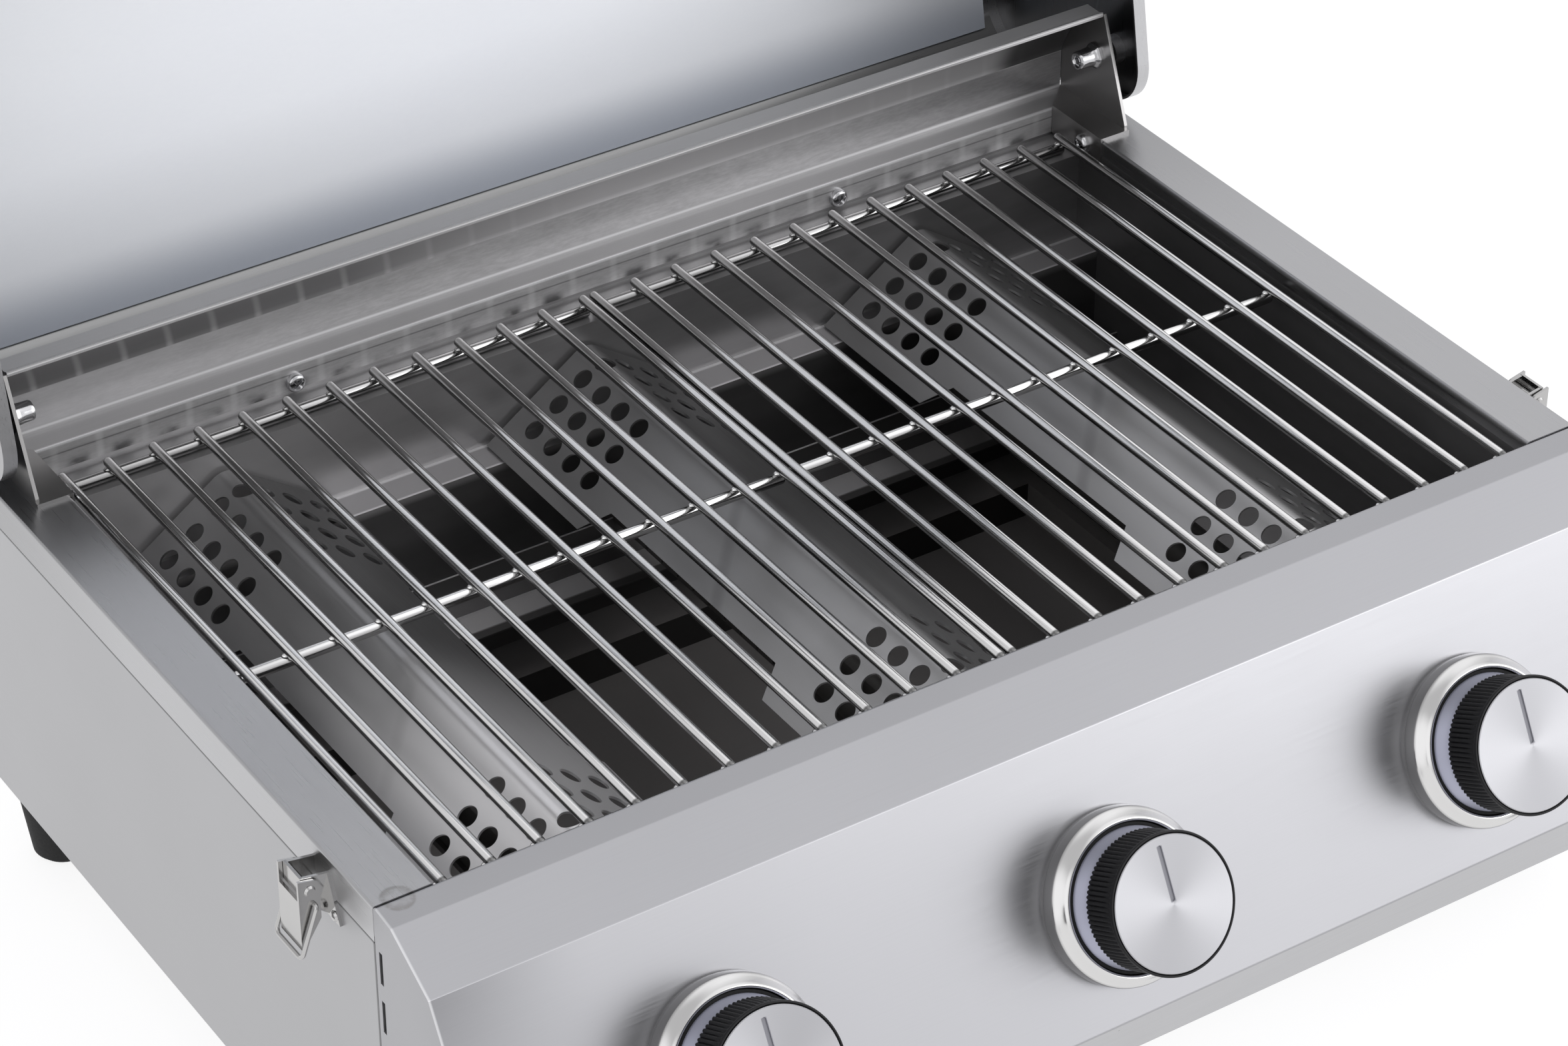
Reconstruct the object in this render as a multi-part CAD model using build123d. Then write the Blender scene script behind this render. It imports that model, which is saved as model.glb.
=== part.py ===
from build123d import *
import math
import os

# Three-burner tabletop gas grill in folded stainless sheet, drawn with its lid swung open.
# Lengths are millimetres. X runs to the cook's right, Y to the back, Z up from the table.
# While it is drawn, Y is zero at the rear ends of the grate rods; the finished parts are then
# moved together so that the origin is the middle of the bottom of the whole box.

# Sheet and small fits
SHEET = 1.0
BRACKET_SHEET = 1.5
BEND_RADIUS = 1.2
OVERRUN = 5.0
RUNNING_FIT = 0.05
EASY_FIT = 0.3
PANEL_GAP = 0.2

# Body box
BODY_WIDTH = 547.0
FOOT_HEIGHT = 34.0
SIDE_PANEL_HEIGHT = 144.0
RIM_SKIRT = 16.0
RIM_WIDTH = 24.0
RIM_HEM = 7.0
HALF_WIDTH = BODY_WIDTH / 2
RIM_Z = FOOT_HEIGHT + SIDE_PANEL_HEIGHT + RIM_SKIRT
INNER_X = HALF_WIDTH - RIM_WIDTH

# Cooking grates: two welded rod grates side by side
ROD_RADIUS = 2.1
RODS_PER_GRATE = 13
GRATE_LENGTH = 302.0
GRATE_GAP = 5.3
GRATE_SIDE_GAP = 6.85
ROD_PITCH = (INNER_X - GRATE_SIDE_GAP - GRATE_GAP / 2) / (RODS_PER_GRATE - 1)
CROSSBAR_RADIUS = 2.5
CROSSBAR_REAR = 3.6
CROSSBAR_FRONT = 3.6
ROD_END_CHAMFER = 0.7
GRATE_BACK_GAP = 11.0
GRATE_FRONT_GAP = 4.4

# Depths, from the grate outwards
BACK_LEDGE = 13.0
SKIRT_Y = GRATE_BACK_GAP
WALL_Y = SKIRT_Y + BACK_LEDGE
REAR_Y = WALL_Y + 2 * SHEET
LIP_Y = -GRATE_LENGTH - GRATE_FRONT_GAP

# Firebox
GRATE_LEDGE_DROP = 14.0
GRATE_LEDGE_REAR = 20.0
GRATE_LEDGE_FRONT = 11.4
TAMER_LEDGE_DROP = 56.0
TAMER_LEDGE = 16.0
FLOOR_DROP = 111.0
FLOOR_LEDGE = 35.0
FLOOR_SIDE_LEDGE = 60.0
FLOOR_LIP = 8.0
GRATE_LEDGE_Z = RIM_Z - GRATE_LEDGE_DROP
TAMER_LEDGE_Z = RIM_Z - TAMER_LEDGE_DROP
FLOOR_Z = RIM_Z - FLOOR_DROP
FIRE_REAR_Y = SKIRT_Y - GRATE_LEDGE_REAR
FIRE_FRONT_Y = LIP_Y + GRATE_LEDGE_FRONT
LOW_REAR_Y = FIRE_REAR_Y - TAMER_LEDGE
LOW_FRONT_Y = FIRE_FRONT_Y + TAMER_LEDGE
HOLE_REAR_Y = LOW_REAR_Y - FLOOR_LEDGE
HOLE_FRONT_Y = LOW_FRONT_Y + FLOOR_LEDGE
HOLE_X = INNER_X - FLOOR_SIDE_LEDGE

# Backsplash: skirt, ledge, wall, and a hood that curls forward to a folded top flange
SKIRT_DROP = 12.0
WALL_RISE = 19.0
HOOD_REACH = 28.8
HOOD_RISE = 31.0
HOOD_FLANGE = 11.5
HOOD_FLANGE_LIP = 4.0
HOOD_LEAN = 28.0

# Hinge brackets, bolts and spacers
BRACKET_REACH = 36.0
PLATE_OUT = 13.0
BRACKET_SKIRT = 12.0
PLATE_X = INNER_X + PLATE_OUT
HINGE_Y = -0.5
HINGE_UP = 28.0
HINGE_Z = RIM_Z + HINGE_UP
BOLT_RADIUS = 3.0
BOLT_HEAD_RADIUS = 6.5
BOLT_HEAD = 3.0
NUT_FLANGE_RADIUS = 5.8
NUT_FLANGE = 2.4
NUT_SLEEVE_RADIUS = 4.2
NUT_SLEEVE = 8.3
NUT_SOCKET_RADIUS = 2.0
NUT_SOCKET = 3.0
SPACER_RADIUS = 6.8

# Front fascia, as the edges of its profile
LIP_FLANGE = 13.0
LIP_STRIP = 12.0
LIP_STRIP_DROP = 1.6
UPPER_BEVEL = 24.9
UPPER_BEVEL_DROP = 14.3
PANEL_LEAN = 29.5
PANEL_SLANT = 110.4
LOWER_BEVEL = 29.5
FASCIA_RETURN = 14.0
VENT_SLOT = 14.5
VENT_SLOT_WIDTH = 2.2
VENT_SLOT_PITCH = 22.3
VENT_SLOT_INSET = 3.8
VENT_SLOT_DROP = 18.0
VENT_SLOTS = 2
STEM_HOLE_RADIUS = 9.0

# Knobs, their bezels and valves
KNOB_MARGIN = 102.2
KNOB_PITCH = HALF_WIDTH - KNOB_MARGIN
KNOB_DOWN = 63.8
BEZEL_RADIUS = 34.0
BEZEL_FLANGE = 1.6
BEZEL_STEP = 1.2
BEZEL_HEIGHT = 8.0
BEZEL_BORE_RADIUS = 27.6
SEAT_RING_RADIUS = 27.4
SEAT_RING_BORE = 11.0
SEAT_RING = 3.0
KNOB_BASE_HEIGHT = 7.6
KNOB_BASE_RADIUS = 20.0
KNOB_RIB_TOP = 29.0
KNOB_RIB_TOP_RADIUS = 24.6
KNOB_RIM_RADIUS = 27.0
KNOB_RIM = 4.5
KNOB_FACE = 37.0
KNOB_RIBS = 40
KNOB_RIB_DEPTH = 0.8
KNOB_WALL = 2.4
KNOB_HUB_RADIUS = 7.0
CAP_RADIUS = 25.7
CAP_THICK = 2.4
CAP_PROUD = 0.3
POINTER_WIDTH = 1.7
POINTER_DEPTH = 0.5
POINTER_INNER = 1.2
POINTER_OUTER = 22.6
STEM_RADIUS = 4.0
STEM_FLAT = 1.2
STEM_IN_KNOB = 14.0
KNOB_PUSH = 3.5
VALVE_DEPTH = 24.0
VALVE_RADIUS = 11.0
VALVE_LENGTH = 26.0
VALVE_NECK_RADIUS = 7.0
STEM_IN_VALVE = 10.0
VALVE_OUTLET_RADIUS = 4.0
MANIFOLD_RADIUS = 8.0
MANIFOLD_OVERHANG = 40.0

# Burners under the flame tamers
BURNER_RADIUS = 12.5
BURNER_WALL = 0.8
BURNER_REAR_GAP = 3.0
BURNER_MOUTH_GAP = 4.0
PORT_BAR = 2.0
PORT_BAR_HEIGHT = 3.0
PORT_SLOT = 1.2
PORT_PITCH = 12.0
AIR_SLOT = 14.0
AIR_SLOT_WIDTH = 8.0

# Flame tamers: perforated roof-shaped sheets
TAMER_MARGIN = 80.2
TAMER_PITCH = INNER_X - TAMER_MARGIN
TAMER_SHIFT = -7.8
TAMER_WIDTH = 98.0
TAMER_RISE = 34.0
TAMER_RIDGE_RADIUS = 9.0
TAMER_GAP = 2.0
TAMER_HOLE_RADIUS = 4.5
TAMER_HOLE_PITCH = 14.6
TAMER_HOLE_ROWS = 3
TAMER_HOLES_PER_ROW = 4
TAMER_HOLE_REAR_END = 14.5
TAMER_HOLE_FRONT_END = 8.3
TAMER_HOLE_FIRST_ROW = 12.3
TAMER_NOTCH = 137.0
TAMER_NOTCH_DEPTH = 8.0
RIDGE_HOLE_END = 16.0

# Gas supply tube and inlet fitting
SUPPLY_RADIUS = 5.0
SUPPLY_BEND = 12.0
INLET_HEX = 19.0
INLET_HEX_LENGTH = 9.0
INLET_STUD_RADIUS = 7.9
INLET_STUD = 13.0
INLET_BORE_RADIUS = 4.0

# Igniter
IGNITER_MARGIN = 48.5
IGNITER_LEFT = HALF_WIDTH - IGNITER_MARGIN
IGNITER_BEZEL_RADIUS = 15.0
IGNITER_BEZEL = 4.0
IGNITER_BUTTON_RADIUS = 10.0
IGNITER_BUTTON_PROUD = 10.0
IGNITER_PUSH = 4.0
IGNITER_BUTTON_IN = 8.0
IGNITER_BOX_RADIUS = 12.0
IGNITER_BOX = 34.0
ELECTRODE_RADIUS = 3.0
ELECTRODE_LENGTH = 24.0
ELECTRODE_TIP_RADIUS = 0.9
ELECTRODE_TIP = 7.0

# Drip tray and its runners
TRAY_SIDE_OVERLAP = 0.5
TRAY_HALF = HOLE_X + TRAY_SIDE_OVERLAP
TRAY_DEPTH = 17.0
TRAY_LIP = 6.0
TRAY_TOP_DROP = 28.0
TRAY_REAR_SET = 0.0
TRAY_FRONT_SET = 18.0
TRAY_FACE_OVERLAP = 6.0
TRAY_PULL = 12.0
TRAY_PULL_WIDTH = 120.0
RUNNER_LEDGE = 6.0
RUNNER_GAP = 1.0

# Base frame, rear panel and feet
BASE_BORDER = 42.0
FOOT_TOP_RADIUS = 17.0
FOOT_BOTTOM_RADIUS = 13.0
FOOT_INSET = 18.5
FOOT_FRONT_INSET = 36.0
FOOT_EDGE_RADIUS = 2.5
FOOT_SCREW_RADIUS = 2.5
FOOT_SCREW_HEAD_RADIUS = 5.0
FOOT_SCREW_HEAD = 2.5
REAR_VENT = 60.0
REAR_VENT_WIDTH = 5.0
REAR_VENT_PITCH = 12.0
REAR_VENT_ROWS = 3
REAR_VENT_COLUMNS = 4
REAR_VENT_DROP = 40.0

# Screws that show
SCREW_RADIUS = 3.3
SCREW_HEAD = 2.2
SCREW_SHANK_RADIUS = 1.8
SCREW_SHANK = 2.6
WALL_SCREW_MARGIN = 116.5
WALL_SCREW_X = INNER_X - WALL_SCREW_MARGIN
WALL_SCREW_DROP = 9.5

# Lid, as drawn shut about the hinge: distances up and down are from the hinge axis
LID_OPEN_ANGLE = 100.5
LID_EDGE_DROP = 22.0
LID_REAR = 21.8
LID_LINER_UP = 87.0
LID_LINER_GAP = 7.0
LID_LINER_REAR_GAP = 12.0
LID_FRONT_OVERLAP = 10.0
LID_CAP_WIDTH = 6.0
LID_CAP_GAP = 6.0
LID_CAP_CORNER = 20.0
LID_SHELL_START = 34.0
LID_TOP_CORNER = 26.0
LID_FRONT_WALL = 58.0
LID_FRONT_SLOPE = 62.0
LID_FRONT_CORNER = 34.0
LID_SHEET = 1.0
LINER_END_GAP = 5.5
LINER_FLANGE = 12.0
BUMPER_RADIUS = 5.0
BUMPER_SET = 26.0
HANDLE_RADIUS = 12.5
HANDLE_MARGIN = 83.5
HANDLE_LENGTH = BODY_WIDTH - 2 * HANDLE_MARGIN
HANDLE_STANDOFF = 46.0
HANDLE_POST_RADIUS = 8.0
HANDLE_POST_INSET = 40.0
HANDLE_POST_X = HANDLE_LENGTH / 2 - HANDLE_POST_INSET
HANDLE_POST_BASE_RADIUS = 13.0
HANDLE_POST_BASE = 4.0
HANDLE_WALL = 1.5
HANDLE_CAP = 3.0

# Draw latches on both sides, near the front
LATCH_BACK = 37.4
LATCH_SHEET = 1.2
LATCH_PIN_DROP = 9.3
LATCH_PIN_OUT = 9.0
LATCH_PIN_RADIUS = 1.5
LATCH_PIN_HEAD = 0.9
LATCH_TOP = 5.5
LATCH_TOP_SLOPE = 2.0
LATCH_CORNER = 2.5
LATCH_PLATE_DROP = 15.5
LATCH_PLATE_FLARE = 7.6
LATCH_CHANNEL_OUT = 11.8
LEVER_WIDTH = 15.5
LEVER_OUT = 13.5
LEVER_CHEEK = 8.4
LEVER_BELOW = 25.2
LEVER_CHEEK_BELOW = 13.5
LEVER_WEB_BELOW = 3.5
LEVER_GAP = 0.3
BAIL_PIVOT_DOWN = 6.4
BAIL_PIVOT_IN = 1.4
BAIL_WIRE = 0.9
BAIL_GAP = 1.0
BAIL_REACH = 22.2
BAIL_LEAN = 18.9
BAIL_CORNER = 2.6
RIVET_RADIUS = 2.2
RIVET_HEAD = 1.1
RIVET_ASIDE = 10.2
RIVET_DROP = 13.0
CATCH_TOP = 14.0
CATCH_WIDTH = 12.0
CATCH_OUT = 8.6
CATCH_LIP = 3.0
CATCH_EASE = 0.3

# Unit directions of the tilted front panel
LEAN = math.radians(PANEL_LEAN)
PANEL_DOWN = Vector(0, -math.sin(LEAN), -math.cos(LEAN))
PANEL_OUT = Vector(0, -math.cos(LEAN), math.sin(LEAN))
X_AXIS = Vector(1, 0, 0)

# Corners of the fascia profile, from the lip round to the bottom edge, as (y, z)
EDGE_A = (LIP_Y, RIM_Z)
EDGE_B = (LIP_Y - LIP_STRIP, RIM_Z - LIP_STRIP_DROP)
EDGE_C = (EDGE_B[0] - UPPER_BEVEL, EDGE_B[1] - UPPER_BEVEL_DROP)
EDGE_D = (EDGE_C[0] + PANEL_SLANT * PANEL_DOWN.Y, EDGE_C[1] + PANEL_SLANT * PANEL_DOWN.Z)
EDGE_E = (EDGE_D[0] + LOWER_BEVEL, FOOT_HEIGHT)

STATIONS = {"left": -KNOB_PITCH, "centre": 0, "right": KNOB_PITCH}

# The tamers rest loosely on their ledges, a little to the left of the burners
TAMER_STATIONS = {
    "left": TAMER_SHIFT - TAMER_PITCH,
    "centre": TAMER_SHIFT,
    "right": TAMER_SHIFT + TAMER_PITCH,
}


def block(x0, x1, y0, y1, z0, z1):
    """A box between two corners."""
    middle = ((x0 + x1) / 2, (y0 + y1) / 2, (z0 + z1) / 2)
    return Pos(*middle) * Box(abs(x1 - x0), abs(y1 - y0), abs(z1 - z0))


def bar(start, end, radius):
    """A round bar between two points."""
    run = Vector(*end) - Vector(*start)
    return Solid.make_cylinder(radius, run.length, Plane(origin=start, z_dir=run))


def side_face(*outline):
    """A face in the YZ plane from its (y, z) corners."""
    return Plane.YZ * make_face(Polyline(*outline, close=True))


def along_x(face, x0, x1):
    """Runs a YZ face from one X to another."""
    return Pos(x0, 0, 0) * extrude(face, x1 - x0)


def folded(corners, x0, x1, sheet=SHEET, bend=BEND_RADIUS, side=Side.LEFT):
    """A folded sheet: its corners as (y, z), thickened to one side and run along X."""
    line = FilletPolyline(*corners, radius=bend)
    outline = offset(line, amount=sheet, side=side)
    return along_x(Plane.YZ * make_face(outline), x0, x1)


def union(pieces):
    """Joins a list of pieces into one."""
    whole = pieces[0]
    for piece in pieces[1:]:
        whole = whole + piece
    return whole


def mirrored(piece):
    """The same piece on the other side of the grill."""
    return mirror(piece, about=Plane.YZ)


def panel_point(x, down, out):
    """A point by its distance down the tilted panel from its top edge and out from its face."""
    top = Vector(x, EDGE_C[0], EDGE_C[1])
    return top + PANEL_DOWN * down + PANEL_OUT * out


def panel_frame(x, down=KNOB_DOWN, out=0):
    """A frame on the tilted panel whose Z points out towards the cook."""
    return Plane(origin=panel_point(x, down, out), x_dir=X_AXIS, z_dir=PANEL_OUT)


def turned(frame, outline, close=True):
    """A solid of revolution about a frame's Z, from (radius, height) corners."""
    face = Plane.XZ * make_face(Polyline(*outline, close=close))
    return frame.location * revolve(face, Axis.Z)


# Body sheets


def make_side_panel(sign):
    """Flat outer side sheet."""
    outer = sign * HALF_WIDTH
    inner = sign * (HALF_WIDTH - SHEET)
    return block(inner, outer, LIP_Y, REAR_Y - SHEET, FOOT_HEIGHT, RIM_Z - RIM_SKIRT)


def make_rim(sign):
    """Flat top rim with a skirt down the outside and a hem inside, folded from one sheet."""
    corners = [
        (-HALF_WIDTH, RIM_Z - RIM_SKIRT + PANEL_GAP),
        (-HALF_WIDTH, RIM_Z),
        (-INNER_X, RIM_Z),
        (-INNER_X, RIM_Z - RIM_HEM),
    ]
    line = FilletPolyline(*corners, radius=BEND_RADIUS)
    face = make_face(offset(line, amount=SHEET, side=Side.RIGHT))
    frame = Plane(origin=(0, REAR_Y - SHEET, 0), x_dir=(1, 0, 0), z_dir=(0, -1, 0))
    rim = extrude(frame * face, REAR_Y - SHEET - LIP_Y - PANEL_GAP)
    hem_front = SKIRT_Y - BRACKET_REACH - PANEL_GAP
    notch = block(
        -INNER_X - SHEET, -INNER_X + OVERRUN, hem_front, REAR_Y + OVERRUN,
        RIM_Z - RIM_HEM - OVERRUN, RIM_Z - SHEET,
    )
    corner = [
        (-INNER_X + OVERRUN, SKIRT_Y - PANEL_GAP - OVERRUN), (-INNER_X, SKIRT_Y - PANEL_GAP),
        (-PLATE_X - PANEL_GAP, WALL_Y - PANEL_GAP), (-PLATE_X - PANEL_GAP, REAR_Y + OVERRUN),
        (-INNER_X + OVERRUN, REAR_Y + OVERRUN),
    ]
    cut = Pos(0, 0, RIM_Z - RIM_SKIRT) * extrude(make_face(Polyline(*corner, close=True)), RIM_SKIRT + OVERRUN)
    rim = rim - notch - cut
    return rim if sign < 0 else mirrored(rim)


def make_rear_panel():
    """Back sheet with vent slots, the tray's slot and the gas inlet's hole."""
    half = HALF_WIDTH
    sheet = block(-half, half, REAR_Y - SHEET, REAR_Y, FOOT_HEIGHT, RIM_Z)
    lip_z = FLOOR_Z - TRAY_TOP_DROP
    slot = block(
        -TRAY_HALF - TRAY_LIP - EASY_FIT, TRAY_HALF + TRAY_LIP + EASY_FIT,
        REAR_Y - SHEET - OVERRUN, REAR_Y + OVERRUN,
        lip_z - TRAY_DEPTH - RUNNER_GAP, lip_z + SHEET + RUNNER_GAP,
    )
    vents = []
    for row in range(REAR_VENT_ROWS):
        for column in range(REAR_VENT_COLUMNS):
            x = (column - (REAR_VENT_COLUMNS - 1) / 2) * REAR_VENT * 1.5
            z = RIM_Z - REAR_VENT_DROP - row * REAR_VENT_PITCH
            shape = Pos(x, REAR_Y, z) * Rot(90, 0, 0) * SlotOverall(REAR_VENT, REAR_VENT_WIDTH)
            vents.append(extrude(shape, 2 * SHEET, both=True))
    x, z = supply_place()
    hole = bar((x, REAR_Y - OVERRUN, z), (x, REAR_Y + OVERRUN, z), SUPPLY_RADIUS + EASY_FIT)
    return sheet - slot - union(vents) - hole


def make_base_frame():
    """Flat border under the body that the feet screw to."""
    front = EDGE_E[0] + FASCIA_RETURN
    half = HALF_WIDTH - SHEET
    z0 = FOOT_HEIGHT
    plate = block(-half, half, front, REAR_Y - SHEET, z0, z0 + SHEET)
    hole = block(
        -half + BASE_BORDER, half - BASE_BORDER,
        front + BASE_BORDER, REAR_Y + OVERRUN, z0 - OVERRUN, z0 + OVERRUN,
    )
    return plate - hole


def make_firebox():
    """Stepped inner box: ledges for the grates and the tamers, and an open floor."""
    t = SHEET
    x = INNER_X
    upper = block(-x - t, x + t, FIRE_FRONT_Y - t, FIRE_REAR_Y + t, TAMER_LEDGE_Z - t, GRATE_LEDGE_Z)
    lower = block(-x - t, x + t, LOW_FRONT_Y - t, LOW_REAR_Y + t, FLOOR_Z - t, TAMER_LEDGE_Z)
    rear_ledge = block(-x, x, FIRE_REAR_Y, SKIRT_Y + 2 * t, GRATE_LEDGE_Z - t, GRATE_LEDGE_Z)
    rear_up = block(-x, x, SKIRT_Y + t, SKIRT_Y + 2 * t, GRATE_LEDGE_Z - t, RIM_Z - t - PANEL_GAP)
    front_ledge = block(-x, x, LIP_Y - 2 * t, FIRE_FRONT_Y, GRATE_LEDGE_Z - t, GRATE_LEDGE_Z)
    front_up = block(-x, x, LIP_Y - 2 * t, LIP_Y - t, GRATE_LEDGE_Z - t, RIM_Z - 2 * t)
    sides = []
    for sign in (-1, 1):
        wall = (sign * x, sign * (x + t))
        sides.append(block(*wall, LIP_Y, SKIRT_Y, TAMER_LEDGE_Z - t, RIM_Z - RIM_HEM))
    lip = block(
        -HOLE_X - t, HOLE_X + t, HOLE_FRONT_Y - t, HOLE_REAR_Y + t, FLOOR_Z - FLOOR_LIP, FLOOR_Z,
    )
    box = union([upper, lower, rear_ledge, rear_up, front_ledge, front_up, *sides, lip])
    box = box - block(-x, x, FIRE_FRONT_Y, FIRE_REAR_Y, TAMER_LEDGE_Z, GRATE_LEDGE_Z + OVERRUN)
    box = box - block(-x, x, LOW_FRONT_Y, LOW_REAR_Y, FLOOR_Z, TAMER_LEDGE_Z + OVERRUN)
    box = box - block(
        -HOLE_X, HOLE_X, HOLE_FRONT_Y, HOLE_REAR_Y, FLOOR_Z - FLOOR_LIP - OVERRUN, FLOOR_Z + OVERRUN,
    )
    for station in STATIONS.values():
        z = burner_z()
        hole = bar(
            (station, LOW_FRONT_Y - OVERRUN, z), (station, LOW_FRONT_Y + OVERRUN, z),
            BURNER_RADIUS + PORT_BAR + EASY_FIT,
        )
        box = box - hole
    for sign in (-1, 1):
        flange_hem = block(
            sign * (x - t), sign * (x + t + OVERRUN),
            SKIRT_Y - BRACKET_REACH - PANEL_GAP, SKIRT_Y + OVERRUN,
            RIM_Z - BRACKET_SKIRT - PANEL_GAP, RIM_Z + OVERRUN,
        )
        box = box - flange_hem
    holes = []
    for sign in (-1, 1):
        place = (sign * WALL_SCREW_X, SKIRT_Y, RIM_Z - WALL_SCREW_DROP)
        holes.append(wall_screw_hole(place))
    return box - union(holes)


def wall_screw_hole(place):
    """Clearance hole for a screw that goes through the back wall."""
    x, y, z = place
    reach = 2 * SHEET + OVERRUN
    return bar((x, y - reach, z), (x, y + reach, z), SCREW_SHANK_RADIUS + EASY_FIT)


def hood_arc():
    """The hood's inner curve as start, middle and end, each (y, z)."""
    start = (WALL_Y, RIM_Z + WALL_RISE)
    end = (WALL_Y - HOOD_REACH, RIM_Z + WALL_RISE + HOOD_RISE)
    half_turn = math.radians(HOOD_LEAN)
    chord = math.hypot(HOOD_REACH, HOOD_RISE) / 2
    rise = chord * math.tan(half_turn / 2)
    out = (HOOD_RISE / (2 * chord), HOOD_REACH / (2 * chord))
    middle = ((start[0] + end[0]) / 2 + out[0] * rise, (start[1] + end[1]) / 2 + out[1] * rise)
    return start, middle, end


def make_backsplash():
    """Sheet behind the grate: screwed skirt, ledge, wall and forward hood with its flange."""
    start, middle, end = hood_arc()
    half = PLATE_X - PANEL_GAP
    skirt = Line((SKIRT_Y, RIM_Z - SKIRT_DROP), (SKIRT_Y, RIM_Z))
    ledge = Line((SKIRT_Y, RIM_Z), (WALL_Y, RIM_Z))
    wall = Line((WALL_Y, RIM_Z), start)
    hood = ThreePointArc(start, middle, end)
    flange = Line(end, (end[0] + HOOD_FLANGE, end[1]))
    lip = Line((end[0] + HOOD_FLANGE, end[1]), (end[0] + HOOD_FLANGE, end[1] - HOOD_FLANGE_LIP))
    low = make_face(offset(Wire([skirt.edge(), ledge.edge(), wall.edge()]), amount=SHEET, side=Side.RIGHT))
    curl = make_face(offset(Wire([hood.edge()]), amount=SHEET, side=Side.RIGHT))
    top = make_face(offset(Wire([flange.edge(), lip.edge()]), amount=SHEET, side=Side.RIGHT))
    sheet = along_x(Plane.YZ * (low + curl + top), -half, half)
    for sign in (-1, 1):
        corner = [
            (sign * (INNER_X - SHEET), SKIRT_Y - OVERRUN),
            (sign * (half + OVERRUN), SKIRT_Y - OVERRUN),
            (sign * (half + OVERRUN), WALL_Y),
            (sign * half, WALL_Y),
            (sign * (INNER_X - SHEET), SKIRT_Y),
        ]
        face = make_face(Polyline(*corner, close=True))
        cut = Pos(0, 0, RIM_Z - SKIRT_DROP - OVERRUN) * extrude(face, SKIRT_DROP + 2 * OVERRUN)
        sheet = sheet - cut
        sheet = sheet - wall_screw_hole((sign * WALL_SCREW_X, SKIRT_Y, RIM_Z - WALL_SCREW_DROP))
    return sheet


def make_hinge_bracket(sign):
    """Bracket beside the backsplash: skirt in the firebox, ledge on the rim, upright hinge plate."""
    t = BRACKET_SHEET
    front_y = SKIRT_Y - BRACKET_REACH
    start, middle, end = hood_arc()
    skirt = block(INNER_X - SHEET, INNER_X, front_y, SKIRT_Y - PANEL_GAP, RIM_Z - BRACKET_SKIRT, RIM_Z + t)
    outline = [
        (INNER_X - SHEET, front_y), (PLATE_X + t, front_y), (PLATE_X + t, WALL_Y),
        (PLATE_X, WALL_Y), (INNER_X - SHEET, SKIRT_Y - PANEL_GAP),
    ]
    ledge = Pos(0, 0, RIM_Z) * extrude(make_face(Polyline(*outline, close=True)), t)
    edges = [
        Line((WALL_Y, RIM_Z), start),
        ThreePointArc(start, middle, end),
        Line(end, (front_y + t, RIM_Z + 2 * t)),
        Line((front_y + t, RIM_Z + 2 * t), (front_y + t, RIM_Z)),
        Line((front_y + t, RIM_Z), (WALL_Y, RIM_Z)),
    ]
    plate = along_x(Plane.YZ * make_face(edges), PLATE_X, PLATE_X + t)
    bracket = skirt + ledge + plate
    hole = bar(
        (PLATE_X - OVERRUN, HINGE_Y, HINGE_Z), (PLATE_X + OVERRUN, HINGE_Y, HINGE_Z),
        BOLT_RADIUS + RUNNING_FIT,
    )
    y, z = bracket_screw_place()
    screw = bar((INNER_X - OVERRUN, y, z), (INNER_X + OVERRUN, y, z), SCREW_SHANK_RADIUS + EASY_FIT)
    bracket = bracket - hole - screw
    return bracket if sign > 0 else mirrored(bracket)


def bracket_screw_place():
    """Where the screw goes through the bracket's skirt, as (y, z)."""
    return SKIRT_Y - BRACKET_REACH * 2 / 3, RIM_Z - BRACKET_SKIRT / 2


def make_hinge_bolts():
    """Shoulder bolts with their flanged sleeve nuts; the lid's end caps turn on the bolts."""
    pieces = []
    cap_out = cap_outer_x()
    for sign in (-1, 1):
        frame = Plane(origin=(0, HINGE_Y, HINGE_Z), x_dir=(0, 1, 0), z_dir=(sign, 0, 0))
        plate = PLATE_X
        bolt = [
            (0, plate - NUT_SLEEVE / 2), (BOLT_RADIUS, plate - NUT_SLEEVE / 2),
            (BOLT_RADIUS, cap_out + EASY_FIT), (BOLT_HEAD_RADIUS, cap_out + EASY_FIT),
            (BOLT_HEAD_RADIUS, cap_out + EASY_FIT + BOLT_HEAD / 2),
            (BOLT_HEAD_RADIUS * 3 / 4, cap_out + EASY_FIT + BOLT_HEAD),
            (0, cap_out + EASY_FIT + BOLT_HEAD),
        ]
        nut = [
            (BOLT_RADIUS, plate), (NUT_FLANGE_RADIUS, plate),
            (NUT_FLANGE_RADIUS, plate - NUT_FLANGE), (NUT_SLEEVE_RADIUS, plate - NUT_FLANGE),
            (NUT_SLEEVE_RADIUS, plate - NUT_FLANGE - NUT_SLEEVE),
            (NUT_SOCKET_RADIUS, plate - NUT_FLANGE - NUT_SLEEVE),
            (NUT_SOCKET_RADIUS, plate - NUT_FLANGE - NUT_SLEEVE + NUT_SOCKET),
            (0, plate - NUT_FLANGE - NUT_SLEEVE + NUT_SOCKET),
            (0, plate - NUT_SLEEVE / 2), (BOLT_RADIUS, plate - NUT_SLEEVE / 2),
        ]
        pieces += [turned(frame, bolt), turned(frame, nut)]
    return Compound(pieces)


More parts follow.
